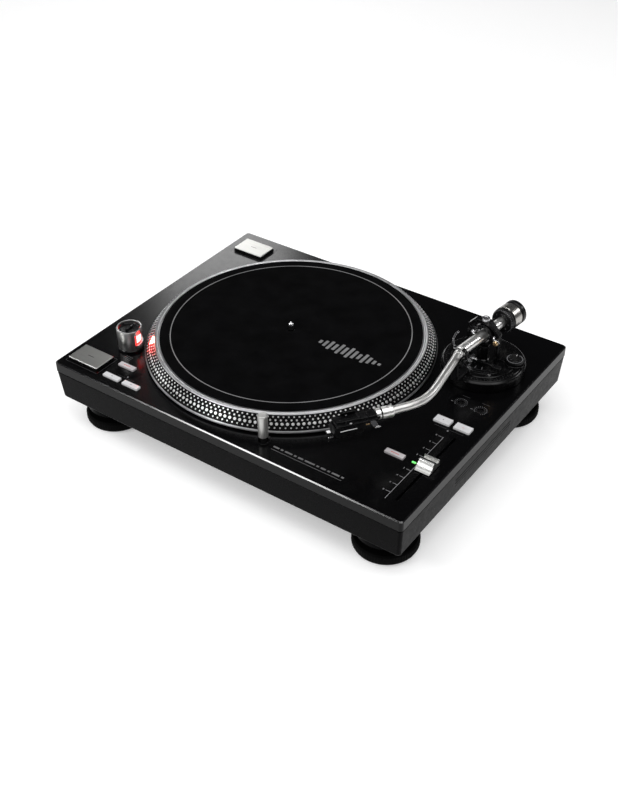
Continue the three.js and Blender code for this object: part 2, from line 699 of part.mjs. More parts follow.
function buildTonearm() {
  const axis = group(deck, ARM.x, ARM.y, ARM.z, ARM.yaw);
  add(axis, 'gimbal_ring', gimbalRing(), 'blackMetal');
  add(axis, 'bearing_screw_left', bearingScrew(-1), 'silver');
  add(axis, 'bearing_screw_right', bearingScrew(1), 'silver');
  add(axis, 'arm_sleeve', armSleeve(), 'silver');
  add(axis, 'weight_dial', weightDial(), 'blackMetal');
  add(axis, 'counterweight', counterweight(), 'silver');
  add(deck, 'arm_tube', armTube(), 'silver', [ARM.x, ARM.y, ARM.z]);
  const front = group(deck, SHELL.x, SHELL.y, ARM.z, SHELL.yaw);
  add(front, 'headshell_collar', cut(rod(6.3, -11, 1), rod(4.9, -12, 2)), 'silver');
  add(front, 'headshell', headshell(), 'blackMetal');
  add(front, 'finger_lift', fingerLift(), 'silver');
  add(front, 'cartridge', cartridge(), 'satin');
  add(front, 'stylus', stylus(), 'satin');
}

buildPlinth();
buildElectrics();
buildDrive();
buildControls();
buildArmBase();
buildTonearm();

export default turntable;
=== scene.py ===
# %% [markdown]
# # A direct-drive turntable
# This lesson dresses a packed mechanical model. The frame already holds every part at its real size and every
# joint, so each new piece takes its place from the frame's own boxes and joint axes. Nothing is moved to fit.

# %% Load the frame
import json
import math
import bmesh
import bpy
from mathutils import Matrix, Vector


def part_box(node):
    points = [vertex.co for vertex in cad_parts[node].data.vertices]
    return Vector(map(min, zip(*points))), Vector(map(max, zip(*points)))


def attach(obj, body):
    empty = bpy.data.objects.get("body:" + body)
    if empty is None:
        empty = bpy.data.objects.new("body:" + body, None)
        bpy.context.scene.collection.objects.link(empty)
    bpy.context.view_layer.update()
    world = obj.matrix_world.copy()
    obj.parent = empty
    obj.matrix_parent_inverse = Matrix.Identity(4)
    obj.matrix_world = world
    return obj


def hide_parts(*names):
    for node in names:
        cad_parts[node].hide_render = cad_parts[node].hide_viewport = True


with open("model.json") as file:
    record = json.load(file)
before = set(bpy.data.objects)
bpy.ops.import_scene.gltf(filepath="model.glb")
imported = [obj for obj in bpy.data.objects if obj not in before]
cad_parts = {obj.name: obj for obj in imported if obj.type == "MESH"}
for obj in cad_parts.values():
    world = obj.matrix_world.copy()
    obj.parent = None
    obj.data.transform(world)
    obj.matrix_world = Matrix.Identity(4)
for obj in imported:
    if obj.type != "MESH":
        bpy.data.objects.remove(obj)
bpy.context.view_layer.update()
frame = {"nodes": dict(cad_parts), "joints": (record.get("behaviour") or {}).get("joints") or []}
JOINTS = {joint["name"]: joint for joint in frame["joints"]}
NODES = frame["nodes"]
MM = 0.001

# %% [markdown]
# ## Reading places from the frame
# A turntable is a set of flat and round parts, so two readings place almost everything: the middle of a
# node's underside, and its size. The tonearm stands at an angle, and there the joint axes give the
# directions.

# %% Places
def middle(node):
    low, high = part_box(node)
    return Vector(((low.x + high.x) / 2, (low.y + high.y) / 2, low.z))


def extent(node):
    low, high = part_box(node)
    return high - low


def axes_at(origin, rear):
    """A local frame with +Y along rear and +Z up, so +X points to the right of it."""
    up = Vector((0, 0, 1))
    back = Vector(rear).normalized()
    side = back.cross(up)
    turn = Matrix((side, back, up)).transposed()
    return Matrix.Translation(Vector(origin)) @ turn.to_4x4()


PLATE_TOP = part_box("top_plate")[1].z
SPINDLE_AT = Vector((middle("spindle").x, middle("spindle").y, PLATE_TOP))
PIVOT = Vector(JOINTS["arm_swing"]["pos_m"])
ARM_FRAME = axes_at(PIVOT, JOINTS["weight_travel"]["axis"])
SHELL_FRAME = axes_at(JOINTS["collar_turn"]["pos_m"], -Vector(JOINTS["collar_turn"]["axis"]))
print("plate top", round(PLATE_TOP, 4), "pivot", [round(v, 4) for v in PIVOT])

# %% [markdown]
# ## Shapes as lists
# Each shape is a pair of lists, points and faces, in millimetres. That keeps the recipes short: a profile is
# turned, rounded rectangles are stacked, an outline is given a thickness, and a path is swept.

# %% Turned and stacked shapes
def moved(shape, matrix):
    points, faces = shape
    return [tuple(matrix @ Vector(p)) for p in points], faces


def shifted(shape, x=0, y=0, z=0):
    return moved(shape, Matrix.Translation((x, y, z)))


def spun(shape, degrees, axis="Z"):
    return moved(shape, Matrix.Rotation(math.radians(degrees), 4, axis))


def eased(profile, radius, steps=3):
    """Rounds the inner corners of an open outline with short curves."""
    result = [profile[0]]
    for before, corner, after in zip(profile, profile[1:], profile[2:]):
        a, c, b = Vector(before), Vector(corner), Vector(after)
        reach = min(radius, 0.45 * (a - c).length, 0.45 * (b - c).length)
        start = c + (a - c).normalized() * reach
        end = c + (b - c).normalized() * reach
        for i in range(steps + 1):
            t = i / steps
            point = start * (1 - t) ** 2 + c * 2 * t * (1 - t) + end * t * t
            result.append(tuple(point))
    return result + [profile[-1]]


def turned(profile, sides=64, ease=0.0, steps=3):
    """Turns [radius, height] points about Z. A profile that starts and ends on the axis is closed."""
    if ease:
        profile = eased(profile, ease, steps)
    points = []
    for r, z in profile:
        for i in range(sides):
            angle = 2 * math.pi * i / sides
            points.append((r * math.cos(angle), r * math.sin(angle), z))
    faces = []
    for k in range(len(profile) - 1):
        for i in range(sides):
            j = (i + 1) % sides
            faces.append((k * sides + i, k * sides + j, (k + 1) * sides + j, (k + 1) * sides + i))
    return points, faces


def hoop(inner, outer, low, high, sides=64, ease=0.3, steps=3):
    """A closed ring whose seam is on its inner wall."""
    half = (low + high) / 2
    profile = [(inner, half), (inner, low), (outer, low), (outer, high), (inner, high), (inner, half)]
    return turned(profile, sides, ease, steps)


def oblong(w, d, r, steps=5):
    points = []
    for sx, sy, start in ((1, 1, 0), (-1, 1, 90), (-1, -1, 180), (1, -1, 270)):
        for i in range(steps + 1):
            angle = math.radians(start + 90 * i / steps)
            points.append((sx * (w / 2 - r) + r * math.cos(angle), sy * (d / 2 - r) + r * math.sin(angle)))
    return points


def stacked(sections, steps=5):
    """Skins rounded rectangles (w, d, r, z) from the bottom up and caps both ends."""
    rows = [[(x, y, z) for x, y in oblong(w, d, r, steps)] for w, d, r, z in sections]
    count = len(rows[0])
    points = [p for row in rows for p in row]
    faces = [tuple(reversed(range(count))), tuple(range(len(points) - count, len(points)))]
    for k in range(len(rows) - 1):
        for i in range(count):
            j = (i + 1) % count
            faces.append((k * count + i, k * count + j, (k + 1) * count + j, (k + 1) * count + i))
    return points, faces


def cushion_edges(w, d, r, low, high, edge, steps=3):
    """Sections for a block whose top edge is rounded by a quarter circle of radius edge."""
    sections = [(w, d, r, low), (w, d, r, high - edge)]
    for i in range(1, steps + 1):
        angle = math.pi / 2 * i / steps
        inset = edge * (1 - math.cos(angle))
        sections.append((w - 2 * inset, d - 2 * inset, max(r - inset, 0.05),
                         high - edge + edge * math.sin(angle)))
    return sections


def slab(outline, low, high):
    """Gives a flat outline a thickness along Z."""
    count = len(outline)
    points = [(x, y, low) for x, y in outline] + [(x, y, high) for x, y in outline]
    faces = [tuple(reversed(range(count))), tuple(range(count, 2 * count))]
    for i in range(count):
        j = (i + 1) % count
        faces.append((i, j, count + j, count + i))
    return points, faces


def block(w, d, h, x=0.0, y=0.0, z=0.0):
    outline = [(x - w / 2, y - d / 2), (x + w / 2, y - d / 2), (x + w / 2, y + d / 2), (x - w / 2, y + d / 2)]
    return slab(outline, z, z + h)


def arc_band(inner, outer, start, end, steps=24):
    """The outline of part of a ring, between two angles in degrees."""
    angles = [math.radians(start + (end - start) * i / steps) for i in range(steps + 1)]
    far = [(outer * math.cos(a), outer * math.sin(a)) for a in angles]
    near = [(inner * math.cos(a), inner * math.sin(a)) for a in reversed(angles)]
    return far + near


def upright(shape):
    """Turns a shape drawn flat, so that its outline stands in the X-Z plane."""
    return spun(shape, 90, "X")


def swept(path, radius, sides=20):
    """A closed tube along a list of points, with the same frame carried along it."""
    line = [Vector(p) for p in path]
    points = []
    side = Vector((0, 0, 1))
    for k, here in enumerate(line):
        ahead = (line[min(k + 1, len(line) - 1)] - line[max(k - 1, 0)]).normalized()
        side = (side - ahead * side.dot(ahead)).normalized()
        up = ahead.cross(side)
        size = radius(k / (len(line) - 1)) if callable(radius) else radius
        for i in range(sides):
            angle = 2 * math.pi * i / sides
            points.append(tuple(here + (side * math.cos(angle) + up * math.sin(angle)) * size))
    faces = [tuple(range(sides)), tuple(reversed(range(len(points) - sides, len(points))))]
    for k in range(len(line) - 1):
        for i in range(sides):
            j = (i + 1) % sides
            faces.append((k * sides + j, k * sides + i, (k + 1) * sides + i, (k + 1) * sides + j))
    return points, faces


def curve_through(points, steps=8):
    """A centripetal Catmull-Rom line through points, which never overshoots a tight bend."""
    line = [Vector(p) for p in points]
    padded = [line[0] * 2 - line[1]] + line + [line[-1] * 2 - line[-2]]
    result = []
    for quad in zip(padded, padded[1:], padded[2:], padded[3:]):
        knots = [0.0]
        for p, q in zip(quad, quad[1:]):
            knots.append(knots[-1] + (q - p).length ** 0.5)
        for i in range(steps):
            t = knots[1] + (knots[2] - knots[1]) * i / steps
            layer = list(quad)
            for level in (1, 2, 3):
                ends = [(k, k + level) for k in range(4 - level)] if level < 3 else [(1, 2)]
                layer = [(p * (knots[b] - t) + q * (t - knots[a])) / (knots[b] - knots[a])
                         for (a, b), p, q in zip(ends, layer, layer[1:])]
            result.append(layer[0])
    return result + [line[-1]]


def lying(shape):
    """Turns a shape drawn along +Z so that it lies along +Y."""
    return spun(shape, -90, "X")


def profiled(outline, half_width):
    """Extrudes a side view, given as (y, z) points, along X."""
    points, faces = slab(outline, -half_width, half_width)
    return [(c, a, b) for a, b, c in points], faces


# %% [markdown]
# ## From shapes to finished pieces
# A real edge is never perfectly sharp, and the thin light line along it is what the eye reads as metal. So a
# piece may pass through a Bevel modifier and a Weighted Normal modifier, both applied, before it is handed to
# the frame. One piece may be made of several closed shapes, each with its own material.

# %% Pieces
def mesh_of(name, parts, smooth=35):
    points, faces, slots, materials = [], [], [], []
    for shape, material in parts:
        if material not in materials:
            materials.append(material)
        base = len(points)
        points += [tuple(c * MM for c in p) for p in shape[0]]
        faces += [tuple(base + i for i in face) for face in shape[1]]
        slots += [materials.index(material)] * len(shape[1])
    mesh = bpy.data.meshes.new(name)
    mesh.from_pydata(points, [], faces)
    for material in materials:
        mesh.materials.append(material)
    mesh.polygons.foreach_set("material_index", slots)
    tidy(mesh, smooth)
    return mesh


def tidy(mesh, smooth=35):
    work = bmesh.new()
    work.from_mesh(mesh)
    bmesh.ops.remove_doubles(work, verts=work.verts, dist=1e-7)
    bmesh.ops.dissolve_degenerate(work, dist=1e-8, edges=work.edges)
    bmesh.ops.recalc_face_normals(work, faces=work.faces)
    work.to_mesh(mesh)
    work.free()
    mesh.polygons.foreach_set("use_smooth", [True] * len(mesh.polygons))
    mesh.set_sharp_from_angle(angle=math.radians(smooth))


def link(name, mesh):
    thing = bpy.data.objects.new(name, mesh)
    bpy.context.scene.collection.objects.link(thing)
    return thing


def apply_modifiers(thing):
    """Swaps the object's mesh for its evaluated one and drops the modifiers."""
    graph = bpy.context.evaluated_depsgraph_get()
    fresh = bpy.data.meshes.new_from_object(thing.evaluated_get(graph))
    old = thing.data
    thing.modifiers.clear()
    thing.data = fresh
    bpy.data.meshes.remove(old)
    fresh.name = thing.name


def carve(thing, cutters):
    """Cuts closed shapes, in millimetres, out of an object."""
    tool = link("cutter", mesh_of("cutter", [(shape, None) for shape in cutters]))
    step = thing.modifiers.new("Cut", "BOOLEAN")
    step.operation = "DIFFERENCE"
    step.solver = "EXACT"
    step.object = tool
    apply_modifiers(thing)
    bpy.data.objects.remove(tool)


def piece(name, parts, body, replaces=(), bevel=0.0, cutters=(), paint=None, smooth=35):
    """Makes one finished piece: cut, bevelled, shaded, painted by place, and riding on its body."""
    thing = link(name, mesh_of(name, parts, smooth))
    if cutters:
        carve(thing, cutters)
    if bevel:
        step = thing.modifiers.new("Bevel", "BEVEL")
        step.width = bevel * MM
        step.segments = 2
        step.limit_method = "ANGLE"
        step.angle_limit = math.radians(40)
        step.use_clamp_overlap = True
    step = thing.modifiers.new("Normals", "WEIGHTED_NORMAL")
    step.keep_sharp = True
    apply_modifiers(thing)
    if paint:
        for face in thing.data.polygons:
            material = paint(face.center, face.normal)
            if material is not None:
                index = thing.data.materials.find(material.name)
                if index < 0:
                    thing.data.materials.append(material)
                    index = len(thing.data.materials) - 1
                face.material_index = index
    return dressed(thing, body, replaces)


def dressed(thing, body, replaces=()):
    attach(thing, body)
    if replaces:
        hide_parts(*replaces)
    return thing


def placed(node_or_point, shape):
    """Moves a shape in millimetres to the middle of a node's underside, or to a point in metres."""
    point = middle(node_or_point) if isinstance(node_or_point, str) else Vector(node_or_point)
    return shifted(shape, *(point / MM))


def in_frame(matrix, shape):
    """Moves a shape drawn in millimetres about a local frame given in metres."""
    place = matrix.copy()
    place.translation = matrix.translation / MM
    return moved(shape, place)


def lettering(text, size, x=0.0, y=0.0, turn=0.0, height=0.06):
    """Plain numerals as thin closed solids, in millimetres, centred at x, y."""
    curve = bpy.data.curves.new("numerals", "FONT")
    curve.body = text
    curve.size = size
    curve.align_x = "CENTER"
    curve.align_y = "CENTER"
    curve.extrude = height / 2
    holder = link("numerals", curve)
    graph = bpy.context.evaluated_depsgraph_get()
    mesh = bpy.data.meshes.new_from_object(holder.evaluated_get(graph))
    shape = [tuple(v.co) for v in mesh.vertices], [tuple(f.vertices) for f in mesh.polygons]
    bpy.data.objects.remove(holder)
    bpy.data.meshes.remove(mesh)
    return shifted(spun(shape, turn), x, y, height / 2)

# %% [markdown]
# ## Geometry Nodes for what goes round
# Strobe dots and dial ticks stand round an axis at an even pitch. One tree makes them: a circle of points,
# one small item on each point, tilted outwards and turned to face away from the axis. The same tree serves
# every ring, because its sizes are inputs of the modifier.

# %% The ring tree
def ring_tree(item):
    """Builds the tree. item is "stud", a low cone with a flat top, or "tick", a bar along the radius."""
    tree = bpy.data.node_groups.new("ring_of_" + item + "s", "GeometryNodeTree")
    tree.interface.new_socket("Geometry", in_out="OUTPUT", socket_type="NodeSocketGeometry")
    inputs = (("Count", "NodeSocketInt"), ("Ring Radius", "NodeSocketFloat"),
              ("Item Radius", "NodeSocketFloat"), ("Item Depth", "NodeSocketFloat"),
              ("Tilt", "NodeSocketFloat"), ("Finish", "NodeSocketMaterial"))
    for label, kind in inputs:
        tree.interface.new_socket(label, in_out="INPUT", socket_type=kind)
    make, join = tree.nodes.new, tree.links.new
    given = make("NodeGroupInput")
    circle = make("GeometryNodeMeshCircle")
    join(given.outputs["Count"], circle.inputs["Vertices"])
    join(given.outputs["Ring Radius"], circle.inputs["Radius"])
    if item == "stud":
        shape = make("GeometryNodeMeshCone")
        shape.inputs["Vertices"].default_value = 12
        narrow = make("ShaderNodeMath")
        narrow.operation = "MULTIPLY"
        narrow.inputs[1].default_value = 0.78
        join(given.outputs["Item Radius"], narrow.inputs[0])
        join(narrow.outputs[0], shape.inputs["Radius Top"])
        join(given.outputs["Item Radius"], shape.inputs["Radius Bottom"])
        join(given.outputs["Item Depth"], shape.inputs["Depth"])
    else:
        shape = make("GeometryNodeMeshCube")
        size = make("ShaderNodeCombineXYZ")
        join(given.outputs["Item Radius"], size.inputs["X"])
        join(given.outputs["Item Depth"], size.inputs["Y"])
        size.inputs["Z"].default_value = 0.06 * MM
        join(size.outputs[0], shape.inputs["Size"])
    place = make("GeometryNodeInputPosition")
    split = make("ShaderNodeSeparateXYZ")
    around = make("ShaderNodeMath")
    around.operation = "ARCTAN2"
    turn = make("ShaderNodeCombineXYZ")
    join(place.outputs[0], split.inputs[0])
    join(split.outputs["Y"], around.inputs[0])
    join(split.outputs["X"], around.inputs[1])
    join(given.outputs["Tilt"], turn.inputs["Y"])
    join(around.outputs[0], turn.inputs["Z"])
    copies = make("GeometryNodeInstanceOnPoints")
    join(circle.outputs[0], copies.inputs["Points"])
    join(shape.outputs["Mesh"], copies.inputs["Instance"])
    join(turn.outputs[0], copies.inputs["Rotation"])
    real = make("GeometryNodeRealizeInstances")
    join(copies.outputs[0], real.inputs[0])
    paint = make("GeometryNodeSetMaterial")
    join(real.outputs[0], paint.inputs["Geometry"])
    join(given.outputs["Finish"], paint.inputs["Material"])
    join(paint.outputs[0], make("NodeGroupOutput").inputs[0])
    return tree


RING_TREES = {item: ring_tree(item) for item in ("stud", "tick")}


def ring_of(item, count, radius, size, depth, place, material, tilt=0.0, low=-1, high=361):
    """Runs the tree, in millimetres, and returns a plain mesh shape. low and high keep part of the turn."""
    tree = RING_TREES[item]
    holder = link("ring", bpy.data.meshes.new("ring"))
    step = holder.modifiers.new("Ring", "NODES")
    step.node_group = tree
    values = {"Count": count, "Ring Radius": radius * MM, "Item Radius": size * MM, "Item Depth": depth * MM,
              "Tilt": math.radians(tilt), "Finish": material}
    for socket in tree.interface.items_tree:
        if socket.in_out == "INPUT":
            step[socket.identifier] = values[socket.name]
    graph = bpy.context.evaluated_depsgraph_get()
    mesh = bpy.data.meshes.new_from_object(holder.evaluated_get(graph))
    corners = len(mesh.vertices) // count
    sides = len(mesh.polygons) // count
    points, faces = [], []
    for k in range(count):
        if low <= 360 * k / count <= high:
            shift = len(points) - k * corners
            points += [tuple(v.co / MM) for v in mesh.vertices[k * corners:(k + 1) * corners]]
            faces += [tuple(i + shift for i in f.vertices) for f in mesh.polygons[k * sides:(k + 1) * sides]]
    bpy.data.objects.remove(holder)
    bpy.data.meshes.remove(mesh)
    return moved((points, faces), place), material


# %% [markdown]
# ## Finishes
# Each finish is a Principled shader with three things fed from noise: a slow drift of colour, a change of
# roughness, and a fine relief. Object coordinates are in metres here, so a scale of 1000 is one grain a
# millimetre. Where the real surface is brushed or turned, the noise is squeezed along one direction.

# %% A recipe for a finish
class Recipe:
    """A material under construction."""

    def __init__(self, name, colour, rough, metal=0.0, **sockets):
        self.material = bpy.data.materials.new(name)
        self.material.use_nodes = True
        self.tree = self.material.node_tree
        self.shader = self.tree.nodes["Principled BSDF"]
        self.colour = colour
        self.rough = rough
        self.feed("Base Color", (*colour, 1.0))
        self.feed("Roughness", rough)
        self.feed("Metallic", metal)
        for label, value in sockets.items():
            self.feed(label.replace("_", " "), value)

    def feed(self, label, value):
        if isinstance(value, bpy.types.NodeSocket):
            self.tree.links.new(value, self.shader.inputs[label])
        else:
            self.shader.inputs[label].default_value = value

    def step(self, kind, inputs=None, **settings):
        node = self.tree.nodes.new("ShaderNode" + kind)
        for label, value in settings.items():
            setattr(node, label, value)
        for label, value in (inputs or {}).items():
            if isinstance(value, bpy.types.NodeSocket):
                self.tree.links.new(value, node.inputs[label])
            else:
                node.inputs[label].default_value = value
        return node

    def place(self, stretch=(1, 1, 1), centre=(0, 0, 0), turn=0.0):
        """Object coordinates, moved so that centre is the origin, then turned about Z and stretched."""
        source = self.step("TexCoord").outputs["Object"]
        away = self.step("Mapping", {"Vector": source, "Location": tuple(-c for c in centre)})
        angled = {"Vector": away.outputs[0], "Rotation": (0, 0, math.radians(turn)), "Scale": stretch}
        return self.step("Mapping", angled).outputs[0]

    def noise(self, where, scale, detail=3.0):
        return self.step("TexNoise", {"Vector": where, "Scale": scale, "Detail": detail}).outputs["Fac"]

    def spread(self, value, low, high, start=0.3, end=0.7):
        ends = {"Value": value, "From Min": start, "From Max": end, "To Min": low, "To Max": high}
        return self.step("MapRange", ends).outputs[0]

    def tint(self, value, dark, light):
        ramp = self.step("ValToRGB", {"Fac": value})
        for stop, place, colour in zip(ramp.color_ramp.elements, (0.3, 0.7), (dark, light)):
            stop.position = place
            stop.color = (*colour, 1.0)
        return ramp.outputs["Color"]

    def relief(self, height, depth, under=None):
        inputs = {"Height": height, "Distance": depth, "Strength": 1.0}
        if under is not None:
            inputs["Normal"] = under
        return self.step("Bump", inputs).outputs[0]

    def weathered(self, where, drift=0.15, swing=0.06, grain=1500, depth=1e-5):
        """The common treatment: drifting colour, uneven roughness and a fine grain."""
        slow = self.noise(where, 45, 4)
        dark = tuple(c * (1 - drift) for c in self.colour)
        light = tuple(min(1.0, c * (1 + drift)) for c in self.colour)
        self.feed("Base Color", self.tint(slow, dark, light))
        handled = self.noise(where, 160, 5)
        self.feed("Roughness", self.spread(handled, max(0.02, self.rough - swing), self.rough + swing))
        self.feed("Normal", self.relief(self.noise(where, grain, 2), depth))
        return self.material


def plain_finish(name, colour, rough, metal=0.0, stretch=(1, 1, 1), turn=0.0, drift=0.15, swing=0.06,
                 grain=1500, depth=1e-5, **sockets):
    recipe = Recipe(name, colour, rough, metal, **sockets)
    return recipe.weathered(recipe.place(stretch, turn=turn), drift, swing, grain, depth)


def turned_finish(name, colour, rough, centre, pitch, depth, metal=1.0, drift=0.08, **sockets):
    """Metal from a lathe: fine rings round a vertical axis through centre."""
    recipe = Recipe(name, colour, rough, metal, **sockets)
    where = recipe.place(centre=centre)
    recipe.weathered(where, drift, 0.05, 900, 2e-6)
    rings = recipe.step("TexWave", {"Vector": where, "Scale": 1 / pitch, "Distortion": 0.6, "Detail": 2.0},
                        wave_type="RINGS", rings_direction="Z")
    recipe.feed("Normal", recipe.relief(rings.outputs["Fac"], depth))
    return recipe.material


# %% [markdown]
# ## The finishes of this deck
# The plate is lacquered and very slightly grainy, which turns the reflection of a lamp into a soft sheen. The
# tub is satin resin. The bright parts are aluminium in different states: polished, turned, brushed and satin.

# %% Black finishes
def plate_lacquer():
    recipe = Recipe("plate_gloss", (0.0012, 0.0012, 0.0014), 0.2, IOR=1.24, Specular_IOR_Level=0.5)
    where = recipe.place()
    recipe.weathered(where, 0.12, 0.02, 2600, 2e-6)
    orange_peel = recipe.relief(recipe.noise(where, 420, 2), 2e-6)
    recipe.feed("Normal", recipe.relief(recipe.noise(where, 2600, 2), 3e-6, orange_peel))
    return recipe.material


def black_felt():
    recipe = Recipe("slipmat_felt", (0.0022, 0.0022, 0.0024), 0.95, IOR=1.2, Specular_IOR_Level=0.06,
                    Sheen_Weight=0.02, Sheen_Roughness=0.4)
    where = recipe.place()
    recipe.weathered(where, 0.35, 0.04, 1400, 5e-5)
    return recipe.material


LACQUER = plate_lacquer()
FELT = black_felt()
EDGE_GLOSS = plain_finish("edge_gloss", (0.004, 0.004, 0.0045), 0.12, drift=0.1, swing=0.02, grain=2600,
                          depth=1e-7, IOR=1.5, Specular_IOR_Level=0.7)
TUB = plain_finish("tub_satin", (0.001, 0.001, 0.0012), 0.3, grain=2200, depth=3e-6, IOR=1.13,
                   Specular_IOR_Level=0.3)
RUBBER = plain_finish("foot_rubber", (0.002, 0.002, 0.002), 0.6, IOR=1.2, drift=0.25, grain=1700, depth=2e-5,
                      Specular_IOR_Level=0.12)
BLACK = plain_finish("black_metal", (0.0018, 0.0018, 0.002), 0.24, 0.0, drift=0.2, grain=2400, depth=1e-6,
                     IOR=1.3, Specular_IOR_Level=0.5)
CONE_BLACK = turned_finish("cone_black", (0.002, 0.002, 0.0022), 0.33, SPINDLE_AT, 0.0011, 1e-6, 0.0,
                           IOR=1.2, Specular_IOR_Level=0.4)
PLASTIC = plain_finish("moulded_plastic", (0.003, 0.003, 0.0033), 0.3, drift=0.2, grain=2000, depth=2e-6,
                       IOR=1.3, Specular_IOR_Level=0.5)
FERRITE = plain_finish("ferrite", (0.02, 0.02, 0.022), 0.7, drift=0.3, grain=900, depth=3e-5)
# Painted shade: thin dark bars stand in for uncut screw recesses and for the grooves between fader grip
# ridges.
RECESS_SHADE = plain_finish("recess_painted_shade", (0.002, 0.002, 0.002), 0.85, drift=0.2, Specular_IOR_Level=0.1)

# %% Bright metals
RIM = turned_finish("rim_polished", (0.62, 0.62, 0.63), 0.36, SPINDLE_AT, 0.0006, 5e-7)
DOT = plain_finish("dot_aluminium", (0.86, 0.86, 0.86), 0.34, 1.0, drift=0.08, grain=2600, depth=4e-6)
CAST = plain_finish("platter_casting", (0.4, 0.4, 0.41), 0.5, 1.0, drift=0.2, grain=700, depth=5e-5)
TURNED = plain_finish("turned_aluminium", (0.55, 0.55, 0.545), 0.3, 1.0, (1, 1, 14), drift=0.05, swing=0.02,
                      grain=420, depth=5e-8)
BRUSHED = plain_finish("brushed_button", (0.36, 0.36, 0.345), 0.36, 1.0, (1, 8, 1), drift=0.04, swing=0.02,
                       grain=300, depth=2e-8)
ARM_SILVER = plain_finish("arm_silver", (0.62, 0.615, 0.6), 0.38, 0.95, drift=0.04, swing=0.03, grain=2300,
                          depth=2e-6)
STEEL = plain_finish("turned_steel", (0.6, 0.6, 0.61), 0.24, 1.0, drift=0.1, grain=1500, depth=3e-6)
CHROME = plain_finish("bright_plating", (0.85, 0.85, 0.86), 0.09, 1.0, drift=0.04, swing=0.03, grain=800,
                      depth=1e-6)
BRASS = plain_finish("brass_screw", (0.78, 0.55, 0.3), 0.25, 1.0, drift=0.1, grain=1200, depth=3e-6)
WEIGHT_BAND = plain_finish("weight_band", (0.42, 0.41, 0.39), 0.28, 1.0, (14, 1, 14), turn=7, drift=0.05,
                           swing=0.02, grain=420, depth=1e-6)
COPPER = plain_finish("copper_coil", (0.6, 0.26, 0.1), 0.32, 1.0, drift=0.25, grain=1800, depth=4e-5)

# %% [markdown]
# Lit parts glow through diffusing plastic, so the glow is uneven, in soft patches. The printed marks are ink,
# a little rough and not quite even.

# %% Lights, inks and boards
def glowing(name, colour, glow, strength, unevenness, scale):
    recipe = Recipe(name, colour, 0.3, Emission_Color=(*glow, 1.0))
    where = recipe.place()
    recipe.weathered(where, 0.05, 0.05, 1200, 4e-6)
    patch = recipe.noise(where, scale, 2)
    recipe.feed("Emission Strength", recipe.spread(patch, strength * (1 - unevenness), strength))
    return recipe.material


LIT_KEY = glowing("lit_key", (0.42, 0.42, 0.43), (1, 1, 1), 0.2, 0.15, 90)
COOL_KEY = glowing("pale_key", (0.42, 0.4, 0.41), (1, 0.93, 0.94), 0.07, 0.3, 90)
RED_GLOW = glowing("red_lens", (0.9, 0.03, 0.015), (1, 0.008, 0.005), 8.0, 0.3, 160)
HOT_CORE = glowing("lamp_core", (1, 0.5, 0.5), (1, 0.42, 0.42), 3.0, 0.15, 200)
GREEN_GLOW = glowing("green_lens", (0.1, 0.9, 0.25), (0.4, 1, 0.16), 0.5, 0.3, 300)
INK = plain_finish("printed_ink", (0.24, 0.24, 0.25), 0.55, drift=0.2, grain=3000, depth=4e-6)
DIM_INK = plain_finish("dim_ink", (0.035, 0.035, 0.037), 0.5, drift=0.25, grain=3000, depth=4e-6)
RED_INK = plain_finish("red_ink", (0.55, 0.03, 0.02), 0.5, drift=0.15, grain=3000, depth=4e-6)
WHITE_PAINT = plain_finish("white_paint", (0.8, 0.8, 0.8), 0.45, drift=0.06, grain=1500, depth=5e-6)
BOARD = plain_finish("circuit_board", (0.01, 0.075, 0.03), 0.42, drift=0.3, grain=700, depth=3e-5)
print("finishes", len(bpy.data.materials))

# %% [markdown]
# ## The top plate
# The plate is one die-cast lid with a skirt and a narrow chamfer, and the chamfer is what draws two bright
# lines along the front edge. It is stacked from rounded rectangles, hollowed from below, and every opening is
# cut from the box of the node that sits in it, with a small gap all round. A bevel then softens each edge of
# the cuts.

# %% Top plate
PLATE_MM = PLATE_TOP / MM
GAP = 0.3
SKIN = 4.5
WALL = 5.0
CHAMFER = 1.2
MOTOR_BAY = 64.0
ARM_WELL = 36.6
FADER_SLOT = (3.0, 114.0)


def opening_for(node, gap=GAP, corner=1.2):
    size = extent(node) / MM
    at = middle(node) / MM
    hole = stacked([(size.x + 2 * gap, size.y + 2 * gap, corner, -9),
                    (size.x + 2 * gap, size.y + 2 * gap, corner, 2)])
    return shifted(hole, at.x, at.y, PLATE_MM)


def round_opening(node, radius, sides=96):
    at = middle(node) / MM
    return shifted(turned([(0, -9), (radius, -9), (radius, 2), (0, 2)], sides), at.x, at.y, PLATE_MM)


KEYS = ("speed_button_33", "speed_button_45", "reverse_button", "range_button_low", "range_button_high",
        "reset_button")
START_BUTTONS = ("start_button_front", "start_button_rear")


